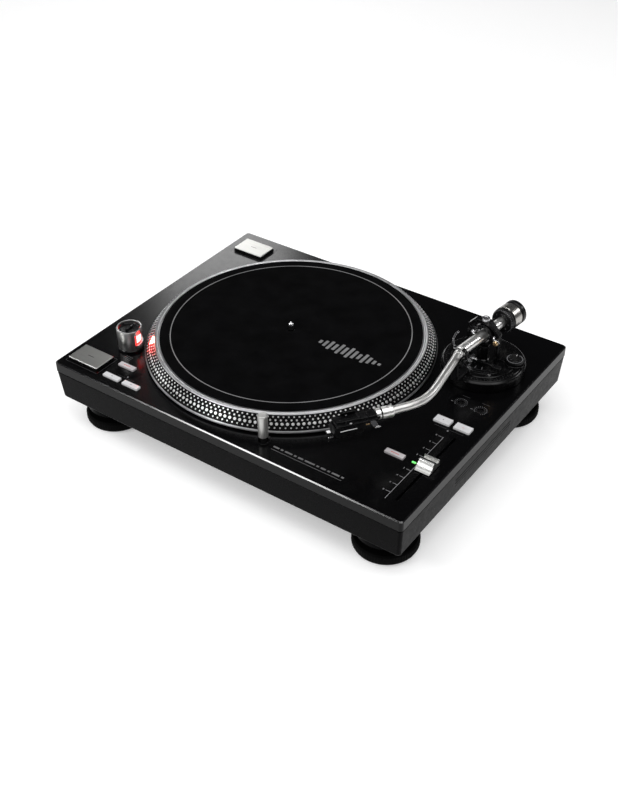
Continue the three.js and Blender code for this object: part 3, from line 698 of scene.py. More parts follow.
def make_plate():
    size = extent("top_plate") / MM
    low = -size.z
    w, d = size.x, size.y
    outside = [(w - 1, d - 1, 3.6, low), (w, d, 4, low + 0.5), (w, d, 4, -CHAMFER),
               (w - 2 * CHAMFER, d - 2 * CHAMFER, 3.4, 0)]
    pocket = [(w - 2 * WALL, d - 2 * WALL, 2, low - 1), (w - 2 * WALL, d - 2 * WALL, 2, -SKIN)]
    fader = middle("pitch_fader_cap") / MM
    slot = stacked([(*FADER_SLOT, 1.4, -9), (*FADER_SLOT, 1.4, 2)])
    cuts = [shifted(stacked(pocket), z=PLATE_MM), shifted(slot, fader.x, fader.y, PLATE_MM)]
    cuts += [opening_for(node) for node in START_BUTTONS + KEYS + ("quartz_lamp",)]
    cuts += [round_opening("rotor_magnet", MOTOR_BAY), round_opening("height_ring", ARM_WELL),
             round_opening("target_lamp", 7.5, 48), round_opening("power_knob", 5.5, 48),
             round_opening("torque_trimmer", 4.2, 48), round_opening("brake_trimmer", 4.2, 48)]
    half_w, half_d = (w / 2 - CHAMFER - 1) * MM, (d / 2 - CHAMFER - 1) * MM

    def edge_paint(centre, normal):
        outer = abs(centre.x) > half_w or abs(centre.y) > half_d
        return EDGE_GLOSS if outer and 0.4 < normal.z < 0.95 else None

    return piece("plate", [(shifted(stacked(outside, 10), z=PLATE_MM), LACQUER)], "chassis", ["top_plate"],
                 bevel=0.3, cutters=cuts, paint=edge_paint)


plate = make_plate()
print("plate faces", len(plate.data.polygons))

# %% [markdown]
# The tub below it is moulded resin: a tray with a slight draft, a chamfered lower edge, a lip that locates in
# the plate, and openings for the sockets and the foot studs. Each side has four long grooves, and pan-head
# screws hold it from below.

# %% Base tub
TUB_FLOOR = 34.5
TUB_WALL = 4.0
FOOT_NODES = ("foot_front_left", "foot_front_right", "foot_rear_left", "foot_rear_right")


def screw_head(radius=3.4):
    """A pan-head screw, its head upwards. Its cross recess is not cut: two thin dark bars on the head are
    painted shade in its place.
    """
    head = turned([(0, -1.2), (radius, -1.2), (radius, 0.3), (radius * 0.8, 1.1), (radius * 0.35, 1.4),
                   (0, 1.45)], 24)
    # the cross recess as two dark bars, painted shade
    slots = [block(radius * 1.1, 0.8, 0.4, z=1.12), block(0.8, radius * 1.1, 0.4, z=1.12)]
    return head, slots


def make_tub():
    low, high = (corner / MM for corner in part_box("base_tub"))
    seam = high.z - 4.5 - 1
    w, d = high.x - low.x, high.y - low.y
    draft, edge = 2.3, 3.0
    skin = [(w - 2 * draft - 2 * edge, d - 2 * draft - 2 * edge, 3, TUB_FLOOR),
            (w - 2 * draft - 1.2, d - 2 * draft - 1.2, 3.6, TUB_FLOOR + edge - 0.7),
            (w - 2 * draft, d - 2 * draft, 4, TUB_FLOOR + edge + 0.6), (w, d, 4, seam - 0.4),
            (w - 0.8, d - 0.8, 3.6, seam), (w - 11, d - 11, 2, seam), (w - 11, d - 11, 2, high.z)]
    inside = [(w - 2 * draft - 10, d - 2 * draft - 10, 3, TUB_FLOOR + TUB_WALL),
              (w - 17, d - 17, 3, high.z + 1)]
    cuts = [stacked(inside)]
    for node in ("jack_panel", "mains_inlet"):
        size, at = extent(node) / MM, middle(node) / MM
        cuts.append(block(size.x + 2 * GAP, 30, size.z + 2 * GAP, at.x, d / 2 - 7, at.z - GAP))
    for node in FOOT_NODES:
        cuts.append(placed(node, turned([(0, 30), (5.3, 30), (5.3, 42), (0, 42)], 32)))
    half = w / 2 - 0.72
    for side in (-1, 1):
        for row in range(4):
            groove = stacked([(1.4, 118, 0.6, 0), (1.4, 118, 0.6, 1.1)])
            cuts.append(shifted(groove, side * half, -12, 47.5 + 4.2 * row))
    return piece("tub", [(stacked(skin, 10), TUB)], "chassis", ["base_tub"], bevel=0.35,
                 cutters=cuts)


def make_tub_screws():
    head, slots = screw_head()
    parts = []
    for x in (-150, -50, 50, 150):
        for y in (-150, 150):
            place = Matrix.Translation((x, y, TUB_FLOOR)) @ Matrix.Rotation(math.pi, 4, "X")
            parts.append((moved(head, place), STEEL))
            # dark cross bars: painted recess shade
            parts += [(moved(slot, place), RECESS_SHADE) for slot in slots]
    piece("tub_screws", parts, "chassis")


tub = make_tub()
make_tub_screws()
print("tub faces", len(tub.data.polygons))

# %% [markdown]
# Each foot is a rubber pad with fine grip flutes and grooves in its sole, on a turned collar. The flutes are
# made by letting the radius swing as the profile is turned, which costs nothing in booleans.

# %% Feet
FLUTE_POINTS = 4                        # points round the axis for each flute


def fluted(profile, count, depth, low, high):
    """A turned shape whose radius swings count times between the heights low and high."""
    sides = count * FLUTE_POINTS
    points, faces = turned(profile, sides)
    swung = []
    for i, (x, y, z) in enumerate(points):
        r = math.hypot(x, y)
        if low <= z <= high and r > 0:
            shrink = (r - depth * (0.5 - 0.5 * math.cos(2 * math.pi * (i % sides) / FLUTE_POINTS))) / r
            x, y = x * shrink, y * shrink
        swung.append((x, y, z))
    return swung, faces


PAD = [(0, 0.4), (8, 0.4), (8.6, 0), (14, 0), (14.6, 0.9), (16, 0.9), (16.6, 0), (22, 0), (22.6, 0.9),
       (24, 0.9), (24.6, 0), (30.5, 0), (33.8, 1.7), (35.5, 5), (35.5, 11.8), (33.6, 13.9), (27.2, 14),
       (27, 15), (27, 19.8)]
COLLAR = [(0, 19.8), (31.2, 19.8), (32, 20.6), (32, 33.4), (31.4, 34.2), (5, 34.2), (5, 43), (0, 43.2)]
for node in FOOT_NODES:
    pad = fluted(PAD + [(0, 19.8)], 72, 0.5, 5, 11.8)
    parts = [(placed(node, pad), RUBBER), (placed(node, turned(COLLAR, 96)), TUB)]
    piece(node.replace("foot", "isolator"), parts, node + "_body", [node])
print("feet", len(FOOT_NODES))

# %% [markdown]
# ## Sockets at the rear
# The recessed tray holds two phono sockets and a ground post, and the mains inlet sits at the other end. Each
# is a small turned part, so each gets its own profile, turned to point backwards.

# %% Sockets
def facing_rear(node):
    """A frame in millimetres at the middle of a node's front face, with +Z pointing to the rear."""
    size, at = extent(node) / MM, middle(node) / MM
    centre = Matrix.Translation((at.x, at.y - size.y / 2, at.z + size.z / 2))
    return centre @ Matrix.Rotation(-math.pi / 2, 4, "X")


def make_tray():
    size = extent("jack_panel") / MM
    shell = stacked([(size.x, size.z, 1, 0), (size.x, size.z, 1, size.y)])
    pocket = stacked([(size.x - 5, size.z - 5, 1.4, 2.5), (size.x - 5, size.z - 5, 1.4, size.y + 1)])
    to_rear = facing_rear("jack_panel")
    on_floor = to_rear @ Matrix.Translation((0, 0, 2.5)) @ Matrix.Scale(-1, 4, (0, 1, 0))
    marks = [(moved(lettering(mark, 5, x), on_floor), INK) for mark, x in (("L", -38), ("R", -1))]
    piece("jack_tray", [(moved(shell, to_rear), TUB)], "chassis", ["jack_panel"], bevel=0.3,
          cutters=[moved(pocket, to_rear)])
    piece("jack_letters", marks, "chassis")


def make_jack(node, insulator):
    place = facing_rear(node)
    shell = hoop(3.3, 4.1, 0, 9.5, 40, 0.3)
    nut = turned([(3.4, 0), (6, 0), (6, 1.5), (5.4, 2), (3.4, 2), (3.4, 0)], 6)
    core = turned([(1.1, 9), (1.1, 3), (1.5, 2.6), (1.5, 0.4), (3.2, 0.4), (3.2, 8.8), (2.8, 9.1), (1.3, 9.1),
                   (1.1, 9)], 32)
    parts = [(moved(shell, place), CHROME), (moved(nut, place), CHROME), (moved(core, place), insulator)]
    piece(node.replace("rca", "phono"), parts, "chassis", [node])


def make_post():
    place = facing_rear("ground_post")
    stem = turned([(0, 0), (2, 0), (2, 9.1), (1.6, 9.5), (0, 9.5)], 32)
    knob = fluted([(2.1, 2.5), (3.8, 2.5), (3.8, 7.4), (3.2, 8), (2.1, 8), (2.1, 2.5)], 18, 0.4, 2.6, 7.5)
    piece("earth_screw", [(moved(stem, place), CHROME), (moved(knob, place), STEEL)], "chassis",
          ["ground_post"])


def make_inlet():
    size = extent("mains_inlet") / MM
    place = facing_rear("mains_inlet")
    shell = stacked(cushion_edges(size.x, size.z, 2, 0, size.y, 0.8))
    cavity = stacked([(24, 16, 1.5, 5), (24, 16, 1.5, size.y + 1)])
    piece("mains_socket", [(moved(shell, place), PLASTIC)], "chassis", ["mains_inlet"],
          bevel=0.3, cutters=[moved(cavity, place)])
    blades = [(moved(stacked(cushion_edges(2, 4, 0.3, 4.9, 16, 0.5)), place @ Matrix.Translation((x, y, 0))),
               STEEL) for x, y in ((-7, 1.5), (0, -2), (7, 1.5))]
    piece("mains_blades", blades, "chassis")


make_tray()
RED_RING = plain_finish("red_insulator", (0.5, 0.02, 0.02), 0.4, grain=1500)
WHITE_RING = plain_finish("white_insulator", (0.7, 0.7, 0.68), 0.4, grain=1500)
make_jack("rca_jack_left", WHITE_RING)
make_jack("rca_jack_right", RED_RING)
make_post()
make_inlet()

# %% [markdown]
# ## The drive
# The platter turns on the spindle, above the motor. Its rim is polished in two beads, the cone below is black
# with four rows of bright dots, and the flange is bright again, so one profile carries four finishes. The
# faces are painted by their distance from the spindle.

# %% Platter
RIM_BEADS = [(154.5, 18.0), (154.1, 18.5), (153.3, 18.7), (152.6, 18.4), (152.3, 18.4), (151.7, 18.7),
             (150.8, 18.7), (150.2, 18.3), (149.9, 17.9)]
UNDERSIDE = [(4.4, 10.9), (16, 10.9), (20, 12.9), (60, 12.9), (62, 11.4), (66, 11.4), (68, 12.9), (110, 12.9),
             (112, 11.4), (116, 11.4), (118, 12.9), (153, 12.9), (156, 5), (158, 2), (165.4, 2), (166, 2.5)]
CONE_STEPS = 14


def from_spindle(point):
    return math.hypot(point.x - SPINDLE_AT.x, point.y - SPINDLE_AT.y) / MM


def platter_paint(centre, normal):
    r = from_spindle(centre)
    height = (centre.z - SPINDLE_AT.z) / MM
    if normal.z < -0.2 or r < 100 and height < 17:
        return CAST
    if height > 17.6 and r > 148:
        return RIM
    if r > 165 and height < 4.9:
        return RIM
    return CONE_BLACK if r > 154 else CAST


def make_platter():
    top, foot = (154.5, 18.0), (165.0, 5.2)
    cone = [(foot[0] + (top[0] - foot[0]) * i / CONE_STEPS, foot[1] + (top[1] - foot[1]) * i / CONE_STEPS)
            for i in range(CONE_STEPS)]
    profile = UNDERSIDE + [(166, 3.7), (165.6, 4.3)] + cone + RIM_BEADS + [(4.4, 17.9), (4.4, 10.9)]
    disc = placed(SPINDLE_AT, turned(profile, 256))
    return piece("platter_disc", [(disc, CAST)], "platter_assembly", ["platter"],
                 paint=platter_paint)


platter = make_platter()
CONE_TILT = math.degrees(math.atan2(13.2, 10.5))
DOT_ROWS = ((163.1, 7.6, 0.95, 0), (160.6, 10.65, 1.72, 0.35), (158.05, 13.8, 1.1, 0.1),
            (155.9, 16.35, 0.95, 0.6))
DOTS_PER_ROW = 180
dots = []
for r, z, size, lead in DOT_ROWS:
    turn = Matrix.Rotation(math.tau * lead / DOTS_PER_ROW, 4, "Z")
    at = Matrix.Translation(SPINDLE_AT / MM + Vector((0, 0, z))) @ turn
    dots.append(ring_of("stud", DOTS_PER_ROW, r, size, 0.36, at, DOT, CONE_TILT))
strobe_dots = piece("strobe_dots", dots, "platter_assembly", smooth=20)
print("dots", DOTS_PER_ROW * len(DOT_ROWS), "faces", len(strobe_dots.data.polygons))

# %% [markdown]
# The slipmat is felt, with a printed ring near its edge. The print on it here is a plain row of level bars.

# %% Slipmat and spindle
MAT_TOP = (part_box("slipmat")[1].z - SPINDLE_AT.z) / MM
MAT_BARS = (6, 11, 16, 12, 19, 14, 20, 15, 10, 17, 12, 7, 4)


def make_slipmat():
    r = extent("slipmat").x / MM / 2
    felt = turned([(4.3, 18.6), (r - 0.5, 18.6), (r, 19.1), (r, 19.6), (r - 0.6, MAT_TOP), (r - 4, MAT_TOP),
                   (60, MAT_TOP), (4.7, MAT_TOP), (4.3, 19.6), (4.3, 18.6)], 192)
    piece("felt_mat", [(placed(SPINDLE_AT, felt), FELT)], "platter_assembly", ["slipmat"])
    ring = hoop(135.8, 136.9, MAT_TOP - 0.05, MAT_TOP + 0.06, 192, 0.02, 1)
    print_on_mat = [(placed(SPINDLE_AT, ring), MAT_INK)]
    for i, tall in enumerate(MAT_BARS):
        bar = stacked([(3.6, tall, 0.8, MAT_TOP - 0.05), (3.6, tall, 0.8, MAT_TOP + 0.06)], 2)
        print_on_mat.append((placed(SPINDLE_AT, shifted(bar, 42 + 6.4 * i, -1.5)), MAT_INK))
    piece("mat_print", print_on_mat, "platter_assembly")


MAT_INK = plain_finish("mat_ink", (0.17, 0.17, 0.172), 0.7, drift=0.2, grain=2600, depth=1.5e-5)
make_slipmat()
PIN = [(0, -24), (3.6, -24), (4, -23.6), (4, 17), (3.6, 19), (3.6, 25.6), (3.4, 26.2), (2.9, 27.6),
       (1.9, 28.6), (0.9, 28.95), (0, 29)]
piece("centre_spindle", [(placed(SPINDLE_AT, turned(PIN, 48)), CHROME)], "platter_assembly", ["spindle"])

# %% [markdown]
# Motor, bearing and boards are hidden under the platter and inside the tub. Their CAD shapes are right, so
# they stay, and only take finishes.

# %% Hidden parts keep their shape
HIDDEN = (("motor_stator", COPPER), ("bearing_housing", STEEL), ("rotor_magnet", FERRITE),
          ("main_board", BOARD), ("power_supply", BOARD), ("fader_body", STEEL))
for node, material in HIDDEN:
    slots = NODES[node].data.materials
    if not slots:
        slots.append(material)
    for i in range(len(slots)):
        slots[i] = material
print("kept", len(HIDDEN))

# %% [markdown]
# ## Controls on the plate
# The two large start buttons are brushed caps on black bodies. The small keys are translucent and lit. They
# all come from the same stack of rounded rectangles, so only their sizes, taken from the frame, differ.

# %% Buttons
PRINT = 0.05                            # thickness of a printed mark


def on_plate(node, shape, z=0.0):
    at = middle(node) / MM
    return shifted(shape, at.x, at.y, PLATE_MM + z)


def frame_lines(w, d, line, height=0.04):
    """Four printed lines round a rectangle."""
    return [block(w, line, height, 0, d / 2), block(w, line, height, 0, -d / 2),
            block(line, d - line, height, w / 2), block(line, d - line, height, -w / 2)]


def start_paint(centre, normal):
    """Brushed top, bright edge and black sides. The printed dash on top keeps its ink."""
    if centre.z >= PLATE_TOP + 0.00452:
        return None
    if normal.z > 0.98 and centre.z > PLATE_TOP + 0.004:
        return BRUSHED
    if centre.z > PLATE_TOP + 0.0034 and normal.z > 0.15:
        return BRIGHT_EDGE
    return BLACK


CAP_FOOT = -2.4                         # how low a cap reaches, so that it stays in its opening when pressed
BRIGHT_EDGE = plain_finish("bright_edge", (0.5, 0.5, 0.49), 0.42, 1.0, drift=0.05, grain=1500, depth=2e-7)
for node in START_BUTTONS:
    size = extent(node) / MM
    w, d = size.x, size.y
    body = [(w, d, 1.2, CAP_FOOT), (w, d, 1.2, 3.5), (w - 0.1, d - 0.1, 1.2, 3.6),
            (w - 0.1, d - 0.1, 1.2, 4.0), (w - 1.2, d - 1.2, 0.8, 4.5)]
    cap = on_plate(node, stacked(body, 5))
    dash = on_plate(node, block(8.5, 0.9, PRINT, 0, 0), 4.5)
    piece(node.replace("_button", "_plate"), [(cap, BLACK), (dash, DIM_INK)], node + "_body", [node],
          paint=start_paint)
    lines = [(on_plate(node, line), DIM_INK) for line in frame_lines(w + 5, d + 5, 0.35)]
    piece(node + "_frame", lines, "chassis")

KEY_MARKS = {"speed_button_33": ("33", DIM_INK), "speed_button_45": ("45", DIM_INK),
             "reverse_button": (None, RED_INK), "range_button_low": ("8", DIM_INK),
             "range_button_high": ("16", RED_INK), "reset_button": (None, RED_INK)}
for node in KEYS:
    size = extent(node) / MM
    w, d = size.x, size.y
    mark, ink = KEY_MARKS[node]
    glow = COOL_KEY if mark is None else LIT_KEY
    cap = stacked([(w, d, 0.35, CAP_FOOT)] + cushion_edges(w, d, 0.35, -1, 2, 0.25)[1:], 5)
    parts = [(on_plate(node, cap), glow)]
    if mark:
        parts.append((on_plate(node, lettering(mark, min(2.4, d * 0.4)), 1.99), ink))
    else:
        parts += [(on_plate(node, block(1.9, 0.9, PRINT, x, 0), 1.98), ink) for x in (-3.6, -1.2, 1.2, 3.6)]
    piece(node.replace("button", "key"), parts, node + "_body", [node])
print("buttons", len(START_BUTTONS) + len(KEYS))

# %% [markdown]
# ## Strobe tower
# A turned aluminium tube with a window stands at the platter's edge, and its red lamp lights the dots. The
# power switch is a knob sunk in its top. The lens is two pieces of glow, a red surround and a hot core.

# %% Strobe tower
TOWER = middle("power_knob") / MM
WINDOW_FACE = 20
WINDOW_HALF = 42


def tower(shape):
    return shifted(shape, TOWER.x, TOWER.y, PLATE_MM)


def make_tower():
    tube = turned([(12.3, 16), (12.3, 4), (12.6, 3.5), (14.1, 3.5), (14.3, 3.8), (14.3, 27.4), (14.05, 27.85),
                   (13.6, 28), (13.0, 28), (12.5, 27.8), (12.3, 27.3), (12.3, 16)], 128)
    window = slab(arc_band(9, 18, WINDOW_FACE - WINDOW_HALF, WINDOW_FACE + WINDOW_HALF, 32), 9.5, 22)
    piece("tower_tube", [(tower(tube), TURNED)], "chassis", ["strobe_housing"],
          bevel=0.25, cutters=[tower(window)])
    foot = turned([(6, 0.3), (14.2, 0.3), (14.5, 0.6), (14.5, 2.6), (14.0, 3.1), (12, 3.2), (6, 3.2),
                   (6, 0.3)], 96)
    piece("tower_foot", [(tower(foot), BLACK)], "chassis", ["strobe_base"])
    reach = WINDOW_HALF + 6
    lens = slab(arc_band(9.5, 12.0, WINDOW_FACE - reach, WINDOW_FACE + reach, 32), 7.5, 22.6)
    core = slab(arc_band(11.9, 12.15, WINDOW_FACE - WINDOW_HALF + 12, WINDOW_FACE + WINDOW_HALF - 9, 24), 11,
                20.8)
    piece("lamp_lens", [(tower(lens), RED_GLOW), (tower(core), HOT_CORE)], "chassis", ["strobe_window"],
          bevel=0.15)
    knob = turned([(0, -10), (4, -10), (4, 23.2), (11.1, 23.2), (11.5, 23.6), (11.5, 25.7), (11.1, 26.1),
                   (9.9, 26.1), (9.5, 25.7), (9.4, 25.1), (8.8, 24.9), (0, 24.9)], 96)
    grip = stacked(cushion_edges(2.4, 12.4, 0.8, 24.7, 27.2, 0.5))
    pointer = block(0.5, 3.2, 0.06, 0, 4.2, 27.17)
    piece("power_dial", [(tower(knob), BLACK), (tower(grip), BLACK), (tower(pointer), INK)],
          "power_knob_body", ["power_knob"])


make_tower()
print("tower", [round(v, 1) for v in TOWER])

# %% [markdown]
# The target lamp is a pillar that pops up beside the platter: a satin head on a thinner dark stem, in a
# threaded bush. A small lens in the head looks at the record.

# %% Target lamp
def make_target_lamp():
    at = middle("target_lamp")
    head = turned([(0, 4.6), (3.3, 4.6), (3.9, 4.9), (5.3, 5.9), (5.3, 31.8), (4.95, 32.6), (4.3, 33),
                   (0, 33)], 64, 0.4)
    stem = turned([(0, -15), (3.3, -15), (3.3, 4.7), (0, 4.7)], 48)
    toward = math.degrees(math.atan2(SPINDLE_AT.y - at.y, SPINDLE_AT.x - at.x))
    lens = spun(lying(turned([(0, 4.6), (1.9, 4.6), (1.9, 5.2), (1.4, 5.36), (0, 5.4)], 24)), toward - 90)
    parts = [(on_plate("target_lamp", head), PALE_SATIN), (on_plate("target_lamp", stem), CHROME_DARK),
             (on_plate("target_lamp", lens, 27), WHITE_PAINT)]
    piece("pop_up_lamp", parts, "target_lamp_body", ["target_lamp"])
    bush = turned([(5.6, -22), (7.2, -22), (7.2, 0.2), (8.5, 0.25), (8.3, 0.8), (7.6, 1.0), (6.0, 1.0),
                   (5.6, 0.7), (5.6, -22)], 64)
    piece("lamp_bush", [(on_plate("target_lamp", bush), BLACK)], "chassis", ["lamp_sleeve"])


PALE_SATIN = plain_finish("pale_satin", (0.5, 0.5, 0.485), 0.34, 0.8, drift=0.05, grain=1900, depth=4e-6)
CHROME_DARK = plain_finish("dark_stem", (0.05, 0.05, 0.052), 0.16, 0.8, drift=0.1, grain=1500, depth=2e-6)
make_target_lamp()

# %% [markdown]
# ## Pitch fader
# The cap is one extruded side view: two end lips, a ridge in the middle, and a hollow on each side for a
# finger, with fine grip lines. It rides over a printed scale with ticks and numbers.

# %% Fader cap and scale
def hollow(near, far, top, floor, steps=8):
    """Points of a finger hollow between two heights, going away from the ridge."""
    points = []
    for i in range(steps + 1):
        t = i / steps
        y = near + (far - near) * t
        z = top + (floor - top) * (1 - (1 - t) ** 2.2)
        points.append((y, z))
    return points


def make_fader_cap():
    size = extent("pitch_fader_cap") / MM
    half_w, half_d, top = size.x / 2, size.y / 2, 9.6
    rear = [(0.4, top)] + hollow(0.9, half_d - 2.2, top - 0.3, 5.7)
    rear += [(half_d - 1.9, top - 1.6), (half_d - 0.8, top - 1.4), (half_d - 0.3, 5), (half_d, 0.8)]
    front = [(-1.6, top)] + [(-1.9 - (half_d - 2.6) * t, top - 0.3 - 7.3 * (1 - (1 - t) ** 1.7))
                             for t in (i / 8 for i in range(9))]
    front += [(-half_d + 0.4, 1.9), (-half_d, 1.6), (-half_d, 0.8)]
    outline = list(reversed(front)) + rear
    cap = profiled(outline, half_w)
    stem = block(1.8, 8, 9.8, 0, 0, -9)
    parts = [(on_plate("pitch_fader_cap", cap), FADER_SILVER), (on_plate("pitch_fader_cap", stem), STEEL)]
    # grip lines: dark bars, painted shade of the grooves between the ridges
    for k in range(5):
        line = block(size.x - 1.2, 0.45, 0.4, 0, 1.8 + 1.2 * k, 8.5 - 0.95 * k)
        parts.append((on_plate("pitch_fader_cap", line), RECESS_SHADE))
    mark = block(size.x - 0.6, 0.5, 0.08, 0, -0.6, top - 0.02)
    parts.append((on_plate("pitch_fader_cap", mark), WHITE_PAINT))
    piece("pitch_grip", parts, "pitch_fader_cap_body", ["pitch_fader_cap"], bevel=0.2)


FADER_SILVER = plain_finish("fader_silver", (0.42, 0.42, 0.41), 0.3, 1.0, (1, 12, 1), drift=0.06, grain=300,
                            depth=1.5e-6)
make_fader_cap()
SCALE_STEPS = 9
SCALE_PITCH = 12.6
SCALE_LINE = 10.75
PRINTED_DOT = turned([(0, 0), (0.9, 0), (0.9, PRINT), (0, PRINT)], 16)


def make_scale():
    fader = middle("pitch_fader_cap") / MM
    parts = []
    line = block(0.45, 112, PRINT, fader.x - SCALE_LINE, fader.y - 5, PLATE_MM)
    parts.append((line, INK))
    for k in range(SCALE_STEPS):
        step = k - SCALE_STEPS // 2
        if step == 0:
            continue
        y = fader.y + step * SCALE_PITCH
        parts.append((block(5.4, 0.42, PRINT, fader.x - SCALE_LINE - 2.9, y, PLATE_MM), INK))
        digits = lettering(str(2 * abs(step)), 3.1, fader.x - SCALE_LINE - 8.2, y)
        parts.append((shifted(digits, z=PLATE_MM), INK))
    at = middle("range_button_low") / MM
    parts.append((block(34, 0.35, PRINT, at.x + 12, at.y - 9.4, PLATE_MM), DIM_INK))
    parts.append((shifted(PRINTED_DOT, at.x + 12, at.y - 11.6, PLATE_MM), INK))
    piece("pitch_scale", parts, "chassis")
    lamp = stacked(cushion_edges(4.7, 2.2, 0.5, -3.4, 0.6, 0.3))
    piece("quartz_lens", [(on_plate("quartz_lamp", lamp), GREEN_GLOW)], "chassis", ["quartz_lamp"])


make_scale()

# %% [markdown]
# The two recessed trimmers set starting torque and braking. Round each one a part of a ring of ticks is
# printed, from the same tree as the strobe dots.

# %% Trimmers and plate print
for node in ("torque_trimmer", "brake_trimmer"):
    screw = turned([(0, -8), (3.8, -8), (3.8, -1.4), (3.4, -1), (0, -1)], 48)
    at = middle(node) / MM
    slot_cut = shifted(block(1.0, 9, 1.5, z=-2.2), at.x, at.y, PLATE_MM)
    piece(node.replace("_trimmer", "_screw"), [(on_plate(node, screw), PLASTIC)], node + "_body", [node],
          bevel=0.15, cutters=[slot_cut])
    place = Matrix.Translation((at.x, at.y, PLATE_MM + 0.02)) @ Matrix.Rotation(math.radians(-60), 4, "Z")
    ticks = ring_of("tick", 20, 6.6, 1.3, 0.3, place, INK, low=0, high=300)
    rim_line = on_plate(node, hoop(4.4, 4.7, 0, PRINT, 48, 0.01, 1))
    dash = on_plate(node, block(9, 0.45, PRINT, 0, 12.2))
    small = on_plate(node, block(2.4, 0.45, PRINT, -9.5, -2.5))
    piece(node + "_marks", [ticks, (rim_line, DIM_INK), (dash, DIM_INK), (small, INK)], "chassis")


def make_plate_print():
    """A plain ornament of dashes, with a line and dots beside the keys."""
    parts = []
    x = 62.0
    for k, long in enumerate((7, 3, 9, 3, 6, 12, 3, 6, 3, 9, 3)):
        parts.append((block(long, 2.2, PRINT, x + long / 2, -155, PLATE_MM), PRINT_GREY))
        x += long + 2.2
    parts.append((block(x - 64.2, 0.5, PRINT, (x + 59.8) / 2, -159.5, PLATE_MM), PRINT_GREY))
    keys = (middle("speed_button_33") + middle("speed_button_45")) / 2 / MM
    parts.append((block(24, 0.35, PRINT, keys.x, keys.y + 7.6, PLATE_MM), DIM_INK))
    parts.append((shifted(PRINTED_DOT, keys.x, keys.y + 10.2, PLATE_MM), INK))
    for row in range(3):
        for column in range(4):
            spot = shifted(PRINTED_DOT, TOWER.x + 8 + 2.6 * column, TOWER.y - 21 + 2.6 * row, PLATE_MM)
            parts.append((spot, DIM_INK))
    piece("plate_print", parts, "chassis")


PRINT_GREY = plain_finish("print_grey", (0.1, 0.1, 0.102), 0.5, drift=0.3, grain=2600, depth=4e-6)
make_plate_print()
print("controls done")

# %% [markdown]
# ## Tonearm base
# A height ring turns round a fixed cup. The cup carries the bearing arch, the lift, the arm rest and the
# anti-skate dial. All of it is dark metal, so the edges and the fine printed scales do the drawing.

# %% Height ring and base
BASE = middle("height_ring") / MM
BASE_TOP = 13.5
DIAL = middle("antiskate_dial") / MM
LIFT_POST = PIVOT / MM + Vector((-18.5, -23, 0))


def polar(radius, degrees):
    angle = math.radians(degrees)
    return radius * math.cos(angle), radius * math.sin(angle)


def at_dial(shape, z=0.0):
    return shifted(shape, DIAL.x, DIAL.y, PLATE_MM + z)


def at_base(shape, z=0.0):
    return shifted(shape, BASE.x, BASE.y, PLATE_MM + z)


def at_pivot(shape, z=0.0):
    return shifted(shape, PIVOT.x / MM, PIVOT.y / MM, PLATE_MM + z)


def make_height_ring():
    profile = [(36.5, 7), (36.5, 0.6), (36.9, 0.3), (46.1, 0.3), (46.5, 0.8), (46.5, 10.9), (46.0, 11.6),
               (44.9, 12.6), (44.2, 12.9), (43.6, 13.0), (43.2, 12.7), (42.6, 12.7), (42.2, 13.0),
               (37.2, 13.0), (36.5, 12.6), (36.5, 7)]
    wall = fluted(profile, 90, 0.35, 2.2, 9.0)
    flat = Matrix.Translation(Vector((BASE.x, BASE.y, PLATE_MM + 13.02)))
    ticks = ring_of("tick", 72, 40.6, 1.5, 0.3, flat, DIM_INK, low=185, high=350)
    long_ticks = ring_of("tick", 18, 40.2, 2.6, 0.45, flat, DIM_INK, low=185, high=350)
    parts = [(at_base(wall), BLACK), ticks, long_ticks]
    for k in range(7):
        angle = 200 + 22 * k
        parts.append((at_base(lettering(str(k), 2.3, *polar(38.1, angle), angle + 90), 13.0), DIM_INK))
    piece("height_collar", parts, "height_ring_body", ["height_ring"])


def make_arm_base():
    cup = turned([(0, 9.5), (32, 9.5), (32, -14), (36, -14), (36, 12.9), (35.4, 13.5), (30.5, 13.5),
                  (30.2, 13.2), (29.6, 13.2), (29.3, 13.5), (0, 13.5)], 128)
    dial_at = DIAL - BASE
    ear = shifted(turned([(0, 13.4), (11.3, 13.4), (11.3, 14.4), (10.9, 14.85), (0, 14.85)], 96), dial_at.x,
                  dial_at.y)
    neck = stacked(cushion_edges(16, 8, 1.5, 13.4, 14.85, 0.4))
    bearing = turned([(0, 13.4), (8.2, 13.4), (8.2, 14.4), (7, 15.4), (7, 30.9), (6.4, 31.9), (0, 31.9)], 64)
    tower_at = LIFT_POST - BASE
    lift = turned([(2.9, 13.4), (5.4, 13.4), (5.4, 18), (5.0, 18.4), (5.0, 19.4), (5.4, 19.8), (5.4, 24.8),
                   (4.9, 25.4), (2.9, 25.4), (2.9, 13.4)], 48)
    swing = at_pivot(bearing)
    parts = [(at_base(cup), BLACK), (at_base(ear), BLACK),
             (at_base(shifted(neck, dial_at.x - 8, dial_at.y - 2)), BLACK), (swing, BLACK),
             (at_base(shifted(lift, tower_at.x, tower_at.y)), BLACK)]
    for x, y in ((-26, 10), (-8, 27), (20, -24)):
        head, slots = screw_head(2.2)
        parts.append((at_base(shifted(head, x, y), BASE_TOP), STEEL))
        # dark cross bars: painted recess shade
        parts += [(at_base(shifted(slot, x, y), BASE_TOP), RECESS_SHADE) for slot in slots]
    arc = slab(arc_band(26.2, 26.5, 205, 335, 48), BASE_TOP, BASE_TOP + PRINT)
    short_arc = slab(arc_band(22.6, 22.9, 235, 320, 32), BASE_TOP, BASE_TOP + PRINT)
    parts += [(at_base(arc), DIM_INK), (at_base(short_arc), DIM_INK)]
    for angle in (228, 250, 272, 294):
        parts.append((at_base(spun(block(4.2, 0.5, PRINT, 19.5, 0), angle), BASE_TOP), INK))
    piece("arm_platform", parts, "arm_mount", ["arm_base"])
    marks = Matrix.Translation((DIAL.x, DIAL.y, PLATE_MM + 14.87))
    ticks = ring_of("tick", 24, 10.75, 0.7, 0.25, marks, DIM_INK, high=290)
    piece("dial_ring", [ticks], "arm_mount")


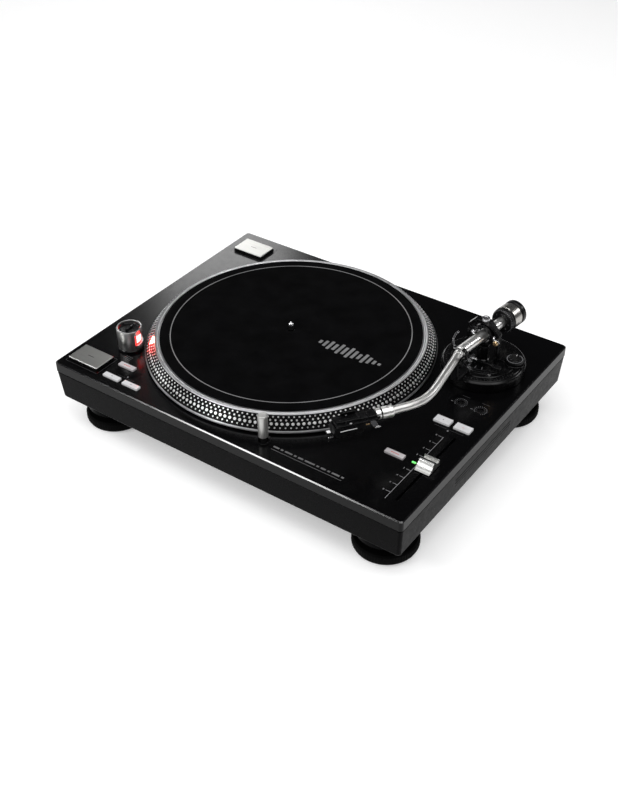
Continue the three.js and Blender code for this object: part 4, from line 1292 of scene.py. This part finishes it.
def make_dial():
    low = 15.3
    skirt = fluted([(0, low), (9.4, low), (9.8, low + 0.4), (9.8, low + 2.9), (9.3, low + 3.4),
                    (7.9, low + 3.4), (7.4, low + 3.6), (7.4, low + 4.4), (7.0, low + 4.8), (0, low + 4.8)],
                   36, 0.35, low + 0.3, low + 3.2)
    grip = stacked(cushion_edges(2.2, 12, 0.8, low + 4.6, low + 5.6, 0.4))
    parts = [(at_dial(skirt), PLASTIC), (at_dial(grip), PLASTIC)]
    outline = hoop(8.2, 8.7, low + 3.36, low + 3.46, 96, 0.02, 1)
    parts.append((at_dial(outline), INK))
    for k in range(5):
        angle = 60 + 48 * k
        parts.append((at_dial(lettering(str(k), 1.7, *polar(6.0, angle), angle - 90), low + 4.8), INK))
    parts.append((at_dial(block(0.4, 3, 0.06, 0, 4.2, low + 5.57)), WHITE_PAINT))
    piece("antiskate_knob", parts, "antiskate_dial_body", ["antiskate_dial"])


make_height_ring()
make_arm_base()
make_dial()

# %% [markdown]
# The arch is a casting with a rounded inside and faceted shoulders. Its pivot screw is knurled, and locked by
# a second screw at the side.

# %% Bearing arch
ARCH_INNER, ARCH_OUTER = 15.2, 19.0
ARCH_FOOT, ARCH_SPRING, ARCH_TOP = 13.8, 44.0, 63.0


def make_arch():
    inside = [(ARCH_INNER * math.cos(a), ARCH_SPRING + ARCH_INNER * math.sin(a))
              for a in (math.pi * i / 24 for i in range(25))]
    right = [(ARCH_OUTER, ARCH_FOOT), (ARCH_OUTER, ARCH_SPRING + 6), (ARCH_OUTER - 12, ARCH_TOP)]
    left = [(-ARCH_OUTER + 8, ARCH_TOP), (-ARCH_OUTER, ARCH_TOP - 9), (-ARCH_OUTER, ARCH_FOOT),
            (-ARCH_INNER, ARCH_FOOT)]
    outline = right + left + list(reversed(inside)) + [(ARCH_INNER, ARCH_FOOT)]
    arch = upright(slab(outline, -3.5, 3.5))
    lightening = [at_pivot(shifted(upright(slab(oblong(1.8, 16, 0.8), 2.8, 6)), side * 17.1, 0, 30))
                  for side in (-1, 1)]
    shoulder = upright(slab([(-18.4, 49), (-18.4, 53.8), (-10.8, 62.3), (-4.5, 62.3), (-11, 55)], 3.2, 5.4))
    piece("gimbal_arch", [(at_pivot(arch), BLACK), (at_pivot(shoulder), BLACK)], "arm_mount",
          ["bearing_arch"], bevel=0.5, cutters=lightening)
    knob = fluted([(0, 63.3), (4.6, 63.3), (4.6, 65.6), (4.1, 66.2), (2.6, 66.3), (2.2, 65.8), (0, 65.7)], 24,
                  0.35, 63.2, 65.7)
    piece("top_screw", [(at_pivot(knob), STEEL)], "arm_mount", ["top_pivot_screw"])
    nut = turned([(0, 0), (4.1, 0), (4.1, 1.5), (3.6, 2.0), (0, 2.0)], 6)
    tip = turned([(0, 1.9), (2.7, 1.9), (2.7, 3.4), (2.2, 4.0), (0.6, 4.05), (0.5, 3.3), (0, 3.3)], 32)
    face = Matrix.Translation((16.6, -3.6, 42)) @ Matrix.Rotation(math.pi / 2, 4, "X")
    parts = [(at_pivot(moved(nut, face)), STEEL), (at_pivot(moved(tip, face)), BRASS)]
    piece("side_lock_screw", parts, "arm_mount")


make_arch()

# %% [markdown]
# The rest is a post with a cradle, and a hook that turns over the tube. The lift is a thin bar bent to the
# path that the arm sweeps, on a bright stalk, and a small lever at the front raises it.

# %% Rest, clip and lift
REST = Vector((-4.1, -54, 39))
CLIP_PIN = Vector((9.4, 0, -3.5))


def make_rest():
    foot = shifted(stacked(cushion_edges(9, 26, 1, 13.8, 16.2, 0.5)), REST.x, REST.y + 12)
    post = shifted(stacked([(7.4, 6, 1, 15.8), (6.4, 5.6, 1, 22), (6.4, 5.6, 1, 34), (7.4, 6, 1, 37.5)]),
                   REST.x, REST.y)
    cradle = [(-6.5, 36), (8.5, 36), (8.5, 38.2), (7.9, 39), (6.2, 39)]
    cradle += [(5.4 * math.cos(a), 44.2 + 5.4 * math.sin(a))
               for a in (math.radians(-66 - 48 * i / 8) for i in range(9))]
    cradle += [(-5.6, 39), (-6.5, 38.4)]
    saddle = shifted(upright(slab(cradle, -3, 3)), REST.x, REST.y)
    parts = [(at_pivot(foot), PLASTIC), (at_pivot(post), PLASTIC), (at_pivot(saddle), PLASTIC)]
    piece("rest_post", parts, "arm_mount", ["arm_rest"], bevel=0.25)
    hook = slab(arc_band(5.4, 7.4, -24, 128, 24), -2, 2)
    eye = shifted(turned([(0, -2), (2.2, -2), (2.2, 2), (0, 2)], 32), CLIP_PIN.x - 1.2, CLIP_PIN.z)
    thumb = stacked(cushion_edges(2.2, 4.2, 0.6, 0, 4, 0.5))
    grip = moved(thumb, Matrix.Rotation(math.radians(38), 4, "Y") @ Matrix.Translation((0, 0, 6.9)))
    shut = [(upright(hook), PLASTIC), (upright(eye), PLASTIC), (grip, PLASTIC)]
    pin = Matrix.Translation(CLIP_PIN)
    turn = pin @ Matrix.Rotation(math.radians(48), 4, "Y") @ pin.inverted()
    parts = [(at_pivot(shifted(moved(shape, turn), REST.x, REST.y, 45)), finish) for shape, finish in shut]
    piece("rest_hook", parts, "arm_clip_body", ["arm_clip"], bevel=0.2)


def make_lift():
    low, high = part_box("lift_bar")
    z = (high.z - PLATE_TOP) / MM
    bar = slab(arc_band(31.9, 34.1, 174, 286, 48), z - 1.8, z)
    post = LIFT_POST - PIVOT / MM
    stalk = shifted(turned([(0, 4), (2.3, 4), (2.6, 4.4), (2.6, z - 3.4), (3.2, z - 3), (3.2, z - 0.4),
                            (2.7, z), (0, z)], 40), post.x, post.y)
    reach = math.hypot(post.x, post.y)
    bridge = stacked(cushion_edges(34.2 - reach + 1, 4, 0.8, z - 1.8, z, 0.4))
    bridge = spun(shifted(bridge, (34 + reach) / 2, 0), math.degrees(math.atan2(post.y, post.x)))
    parts = [(at_pivot(bar), STEEL), (at_pivot(stalk), CHROME), (at_pivot(bridge), CHROME)]
    piece("cueing_bar", parts, "lift_bar_body", ["lift_bar"], bevel=0.25)


def make_cue_lever():
    pin = JOINTS["cue_lever_turn"]["pos_m"]
    hub = spun(turned([(0, -4), (3, -4), (3.4, -3.6), (3.4, 3.6), (3, 4), (0, 4)], 40), 90, "X")
    stem = stacked([(26, 2.6, 0.8, -1.1), (26, 3, 0.8, -0.4), (26, 3, 0.8, 0.5), (26, 2.4, 0.8, 1.1)])
    paddle = stacked(cushion_edges(11, 6, 2.0, -1.3, 1.3, 0.6))
    parts = [(placed(pin, hub), STEEL), (placed(pin, shifted(stem, 14)), BLACK),
             (placed(pin, shifted(paddle, 30)), PLASTIC)]
    piece("cueing_lever", parts, "cue_lever_body", ["cue_lever"], bevel=0.15)


make_rest()
make_lift()
make_cue_lever()

# %% [markdown]
# ## The arm
# The gimbal swings about the upright axis and the arm tilts in it on two screws. A straight sleeve passes
# through, the S-shaped tube leaves it at the front, and the weight screws along the stub behind. Everything
# straight is turned in a frame laid along the arm. The tube follows the few points of its centre line.

# %% Gimbal and sleeve
def along_arm(shape):
    return in_frame(ARM_FRAME, lying(shape))


def make_gimbal():
    ring = hoop(8.5, 12.5, -3.5, 3.5, 96, 0.7)
    pivot_eye = turned([(0, -12.9), (2.6, -12.9), (2.6, -11.5), (0, -11.5)], 32)
    pin_hole = spun(turned([(0, -30), (2.3, -30), (2.3, 30), (0, 30)], 32), 90, "Y")
    knob = spun(fluted([(0, 3.3), (2.9, 3.3), (2.9, 7.4), (2.4, 8), (0, 8)], 16, 0.25, 3.2, 7.5), 90, "X")
    parts = [(in_frame(ARM_FRAME, spun(ring, 90, "X")), BLACK), (in_frame(ARM_FRAME, pivot_eye), BLACK)]
    piece("gimbal", parts, "gimbal", ["gimbal_ring"], bevel=0.2,
          cutters=[in_frame(ARM_FRAME, pin_hole)])
    piece("gimbal_pin", [(in_frame(ARM_FRAME, shifted(knob, -10.4, 0, 2)), STEEL)], "gimbal")
    for side, node in ((-1, "bearing_screw_left"), (1, "bearing_screw_right")):
        screw = [(0, 6.5), (1.4, 6.6), (2, 7.4), (2, 12.8), (3, 12.8), (3, 14.0), (2.6, 14.4), (0.9, 14.4),
                 (0.8, 13.9), (0, 13.9)]
        shape = spun(turned(screw, 32), 90 * side, "Y")
        piece(node.replace("bearing", "pivot"), [(in_frame(ARM_FRAME, shape), STEEL)], "gimbal", [node])


def make_sleeve():
    front = [(0, -45.5), (5.3, -45.5), (5.7, -45.2), (5.7, -43.4), (6, -43.0), (6, -33.4), (5.7, -33.1),
             (5.7, -32.3), (6, -32), (6, 8.5), (5.7, 9.2), (5.7, 20.6), (5.4, 20.8), (5.4, 21.6), (5.7, 21.8),
             (5.7, 55.8), (4.9, 57), (0, 57)]
    piece("arm_barrel", [(along_arm(turned(front, 96)), SLEEVE_SILVER)], "arm", ["arm_sleeve"])


SLEEVE_SILVER = plain_finish("sleeve_silver", (0.78, 0.775, 0.76), 0.34, 1.0, (10, 1, 10), turn=7, drift=0.04,
                             swing=0.02, grain=500, depth=1e-6)
make_gimbal()
make_sleeve()

# %% Tube
TUBE_LINE = [(-4.9, -46.5), (-3.8, -54.5), (-1.9, -64.5), (2.9, -94.5), (6, -114.5), (6.9, -126.4),
             (6.1, -136.1), (4.1, -144.2), (-0.2, -153.7), (-6.1, -163.1), (-11, -171), (-13.6, -174.7)]


def make_tube():
    centre = [(PIVOT.x / MM + x, PIVOT.y / MM + y, PIVOT.z / MM) for x, y in TUBE_LINE]
    line = curve_through(centre, 10)
    tube = swept(line, 4.5, 40)
    cuff = swept(line[1:9], lambda t: 5.0 if 0.06 < t < 0.94 else 4.7, 40)
    piece("s_tube", [(tube, ARM_SILVER), (cuff, SLEEVE_SILVER)], "arm", ["arm_tube"])


make_tube()

# %% [markdown]
# The counterweight is a bright band between black rings. The dial in front of it carries ticks and numbers on
# a narrow cone, and turns as the weight travels.

# %% Counterweight
WEIGHT_R = 14.2
WEIGHT_SPLIT = 37
BAND_NEAR, BAND_FAR = WEIGHT_SPLIT + 2, WEIGHT_SPLIT + 14.2


def weight_paint(centre, normal):
    local = ARM_FRAME.inverted() @ centre
    along, r = local.y / MM, math.hypot(local.x, local.z) / MM
    if BAND_NEAR < along < BAND_FAR and r > WEIGHT_R - 0.7:
        return WEIGHT_BAND
    return None


def make_weight():
    steps = [(6.0, 0), (13.4, 0), (14.2, 0.8), (14.2, 1.6), (13.9, 1.8), (13.9, 2.2), (14.2, 2.4),
             (14.2, 13.7), (13.9, 14.2), (13.2, 14.8), (13.2, 16.2), (13.9, 17.1), (14.2, 17.5), (14.2, 21.8),
             (13.6, 22.7), (12.8, 23), (10.4, 23), (9.9, 22.3), (6.8, 22.3), (6.0, 22.1), (6.0, 0)]
    profile = [(r, WEIGHT_SPLIT + y) for r, y in steps]
    low, high = WEIGHT_SPLIT + 17.6, WEIGHT_SPLIT + 21.6
    piece("arm_weight", [(along_arm(fluted(profile, 60, 0.3, low, high)), PLASTIC)], "counterweight_body",
          ["counterweight"], paint=weight_paint)
    dial = fluted([(6.0, 31), (11.6, 31), (12.4, 31.4), (13.8, 34.0), (14.0, 34.4), (14.0, 36.4),
                   (13.8, 36.7), (6.0, 36.7), (6.0, 31)], 48, 0.3, 34.3, 36.5)
    cone = math.degrees(math.atan2(2.6, 1.4))
    marks = ARM_FRAME.copy()
    marks.translation = ARM_FRAME.translation / MM
    place = marks @ Matrix.Rotation(math.radians(90), 4, "X") @ Matrix.Translation((0, 0, -32.7))
    ticks = ring_of("tick", 40, 13.15, 1.4, 0.3, place, INK, tilt=cone)
    parts = [(along_arm(dial), PLASTIC), ticks]
    for k in range(8):
        face = marks @ Matrix.Rotation(math.radians(45 * k), 4, "Y") @ Matrix.Translation((0, 30.98, 9.2)) \
            @ Matrix.Rotation(math.radians(90), 4, "X")
        parts.append((moved(lettering(str(k % 4), 2.2), face), INK))
    piece("force_dial", parts, "weight_dial_body", ["weight_dial"])


make_weight()

# %% [markdown]
# ## Headshell and cartridge
# The locking collar is knurled. The shell is a thin tapered plate with slots and two screws that hold the
# cartridge, whose side carries a white line, and whose stylus guard carries a white square. The finger lift
# is a strip of bent steel.

# %% Headshell
BOLT_X = 6.6


def on_shell(shape):
    return in_frame(SHELL_FRAME, shape)


def make_collar():
    collar = fluted([(4.9, -5), (4.9, -10.4), (5.3, -11), (5.9, -11), (6.3, -10.4), (6.3, -4.6), (5.9, -4.2),
                     (5.9, -3.4), (6.3, -3.0), (6.3, 0.3), (5.7, 1), (5.2, 1), (4.9, 0.5), (4.9, -5)], 28,
                    0.3, -10.2, -4.7)
    lug = stacked(cushion_edges(2.6, 2.6, 0.5, 6.0, 7.4, 0.4))
    parts = [(on_shell(lying(collar)), SLEEVE_SILVER), (on_shell(shifted(lug, 0, -2)), SLEEVE_SILVER)]
    piece("locking_collar", parts, "headshell_collar_body", ["headshell_collar"])


def make_headshell():
    stem = lying(turned([(0, -16), (4, -16), (4, -5.4), (3.6, -5), (0, -5)], 40))
    shoulder = lying(turned([(0, -17.5), (5.6, -17.5), (6, -17), (6, -12.6), (5.5, -12.1), (0, -12.1)], 48))
    plan = [(-6.2, -14), (6.2, -14), (9, -20), (9, -56), (7.4, -61), (-7.4, -61), (-9, -56), (-9, -20)]
    plate = slab(plan, -1.2, 1.6)
    spine = [(5.6, -15), (5.0, -40), (3.6, -59), (-3.6, -59), (-5.0, -40), (-5.6, -15)]
    ridge = slab(spine, 1.4, 3.0)
    slots = [in_frame(SHELL_FRAME, shifted(stacked([(1.9, 15, 0.9, -3), (1.9, 15, 0.9, 6)]), x, -44))
             for x in (-BOLT_X, BOLT_X)]
    parts = [(on_shell(stem), BLACK), (on_shell(plate), BLACK), (on_shell(ridge), BLACK),
             (on_shell(shoulder), SLEEVE_SILVER)]
    piece("shell", parts, "arm", ["headshell"], bevel=0.3, cutters=slots)
    bolts = []
    for x in (-BOLT_X, BOLT_X):
        head, cross = screw_head(1.8)
        bolts.append((on_shell(shifted(head, x, -46, 1.5)), STEEL))
        # dark cross bars: painted recess shade
        bolts += [(on_shell(shifted(slot, x, -46, 1.5)), RECESS_SHADE) for slot in cross]
    piece("shell_bolts", bolts, "arm")


def make_finger_lift():
    bend = [(17 + 8.2 * math.sin(a), 8.2 * (1 - math.cos(a)))
            for a in (math.radians(12 * i) for i in range(6))]
    lower = [(9.3, -0.4)] + [(x, z - 0.4) for x, z in bend]
    upper = [(x - 0.55, z + 0.65) for x, z in reversed(bend)] + [(9.3, 0.7)]
    strip = upright(slab(lower + upper, 21, 26.5))
    piece("finger_hook", [(on_shell(strip), CHROME)], "arm", ["finger_lift"], bevel=0.25)


def make_cartridge():
    side = [(-30, -2), (-62, -2), (-64, -7.6), (-60.4, -13.2), (-59, -13.5), (-34.6, -13.5), (-30, -9.6)]
    body = profiled(side, 7.5)
    line = block(0.12, 17.5, 1.1, 7.52, -48, -6.6)
    pin = lying(turned([(0, -30.2), (0.6, -30.2), (0.6, -24), (0, -24)], 12))
    parts = [(on_shell(body), PLASTIC), (on_shell(line), WHITE_PAINT)]
    for x, z in ((-2.6, -4), (2.6, -4), (-2.6, -8), (2.6, -8)):
        parts.append((on_shell(shifted(pin, x, 0, z)), BRASS))
    piece("pickup", parts, "arm", ["cartridge"], bevel=0.35)
    grip = [(-46, -13.8), (-62, -13.8), (-62, -15.4), (-60, -17.3), (-47, -17.3), (-46, -16.4)]
    guard = profiled(grip, 4)
    nose = profiled([(-63.6, -8.6), (-69.4, -8.6), (-69.6, -9.6), (-68.2, -10.8), (-62.4, -10.8)], 2.9)
    square = block(4.0, 3.8, 0.1, 0, -66.6, -8.62)
    beam = shifted(lying(turned([(0, -67), (0.45, -67), (0.6, -60.4), (0, -60.4)], 16)), z=-16.2)
    tip = turned([(0, -20.6), (0.12, -20.2), (0.45, -18.4), (0.5, -16.2), (0, -16.1)], 16)
    parts = [(on_shell(guard), PLASTIC), (on_shell(nose), PLASTIC), (on_shell(square), WHITE_PAINT),
             (on_shell(beam), STEEL), (on_shell(shifted(tip, 0, -66.4)), CHROME)]
    piece("stylus_unit", parts, "arm", ["stylus"], bevel=0.15)


make_collar()
make_headshell()
make_finger_lift()
make_cartridge()

# %% [markdown]
# ## Studio
# The deck stands on a white floor that runs out of view. One wide soft light hangs overhead, a panel at the
# rear left gives the plate its grey sheen, and strips at the left and the front draw the long highlights.

# %% Floor and lights
def make_floor():
    edge = 6.0
    mesh = bpy.data.meshes.new("studio_floor")
    mesh.from_pydata([(-edge, -edge, 0), (edge, -edge, 0), (edge, edge, 0), (-edge, edge, 0)], [],
                     [(0, 1, 2, 3)])
    recipe = Recipe("studio_white", (0.8, 0.8, 0.8), 0.9, Specular_IOR_Level=0.0, Emission_Color=(1, 1, 1, 1),
                    Emission_Strength=0.34)
    mesh.materials.append(recipe.weathered(recipe.place(), 0.01, 0.02, 300, 1e-5))
    link("studio_floor", mesh)


def soft_light(name, at, aim, size, power, colour=(1, 1, 1)):
    data = bpy.data.lights.new(name, "AREA")
    data.shape = "RECTANGLE"
    data.size, data.size_y = size
    data.energy = power
    data.color = colour
    lamp = bpy.data.objects.new(name, data)
    lamp.location = at
    lamp.rotation_euler = (Vector(at) - Vector(aim)).to_track_quat("Z", "Y").to_euler()
    bpy.context.scene.collection.objects.link(lamp)


make_floor()
ON_PLATE = (0, 0, PLATE_TOP)
soft_light("overhead", (0.35, -0.5, 2.6), ON_PLATE, (3.0, 3.0), 70)
soft_light("rear_left_panel", (-1.4, 1.5, 1.1), (-0.2, 0.08, PLATE_TOP), (0.4, 0.5), 5.4)
soft_light("left_strip", (-1.6, -0.5, 0.75), ON_PLATE, (0.25, 1.0), 4)
soft_light("front_left_key", (-0.8, -1.33, 1.13), (0, -0.18, PLATE_TOP), (0.95, 0.16), 11)
soft_light("rear_right_edge", (1.1, 1.2, 0.95), (0.22, 0, PLATE_TOP), (0.5, 0.25), 4)
soft_light("right_fill", (1.5, -0.2, 1.6), ON_PLATE, (0.8, 0.8), 4)
LENS = middle("strobe_window")
FACING = (math.cos(math.radians(WINDOW_FACE)), math.sin(math.radians(WINDOW_FACE)))
AHEAD = Vector((LENS.x + 0.017 * FACING[0], LENS.y + 0.017 * FACING[1], PLATE_TOP + 0.013))
THROWN = AHEAD + Vector((0.05 * FACING[0], 0.05 * FACING[1], -0.006))
soft_light("strobe_beam", AHEAD, THROWN, (0.008, 0.008), 0.9, (1, 0.015, 0.01))
backdrop = bpy.data.worlds.new("studio")
backdrop.use_nodes = True
backdrop.node_tree.nodes["Background"].inputs["Color"].default_value = (0.5, 0.5, 0.52, 1)
backdrop.node_tree.nodes["Background"].inputs["Strength"].default_value = 0.12
bpy.context.scene.world = backdrop
bpy.context.scene.view_settings.view_transform = "Standard"

# %% [markdown]
# The camera looks down on the front right corner with a moderately long lens, and leans by less than a
# degree.

# %% Camera
def make_camera():
    azimuth, elevation, roll = (math.radians(angle) for angle in (35.88, 37.66, -0.73))
    target, distance = Vector((0.0469, -0.0718, PLATE_TOP)), 1.2468
    back = Vector((math.sin(azimuth) * math.cos(elevation), -math.cos(azimuth) * math.cos(elevation),
                   math.sin(elevation)))
    right = Vector((math.cos(azimuth), math.sin(azimuth), 0))
    up = back.cross(right)
    side = right * math.cos(roll) + up * math.sin(roll)
    top = up * math.cos(roll) - right * math.sin(roll)
    data = bpy.data.cameras.new("camera")
    data.sensor_width = 36
    data.lens = 52.5
    camera = bpy.data.objects.new("camera", data)
    turn = Matrix((side, top, back)).transposed().to_4x4()
    camera.matrix_world = Matrix.Translation(target + back * distance) @ turn
    bpy.context.scene.collection.objects.link(camera)
    bpy.context.scene.camera = camera


make_camera()
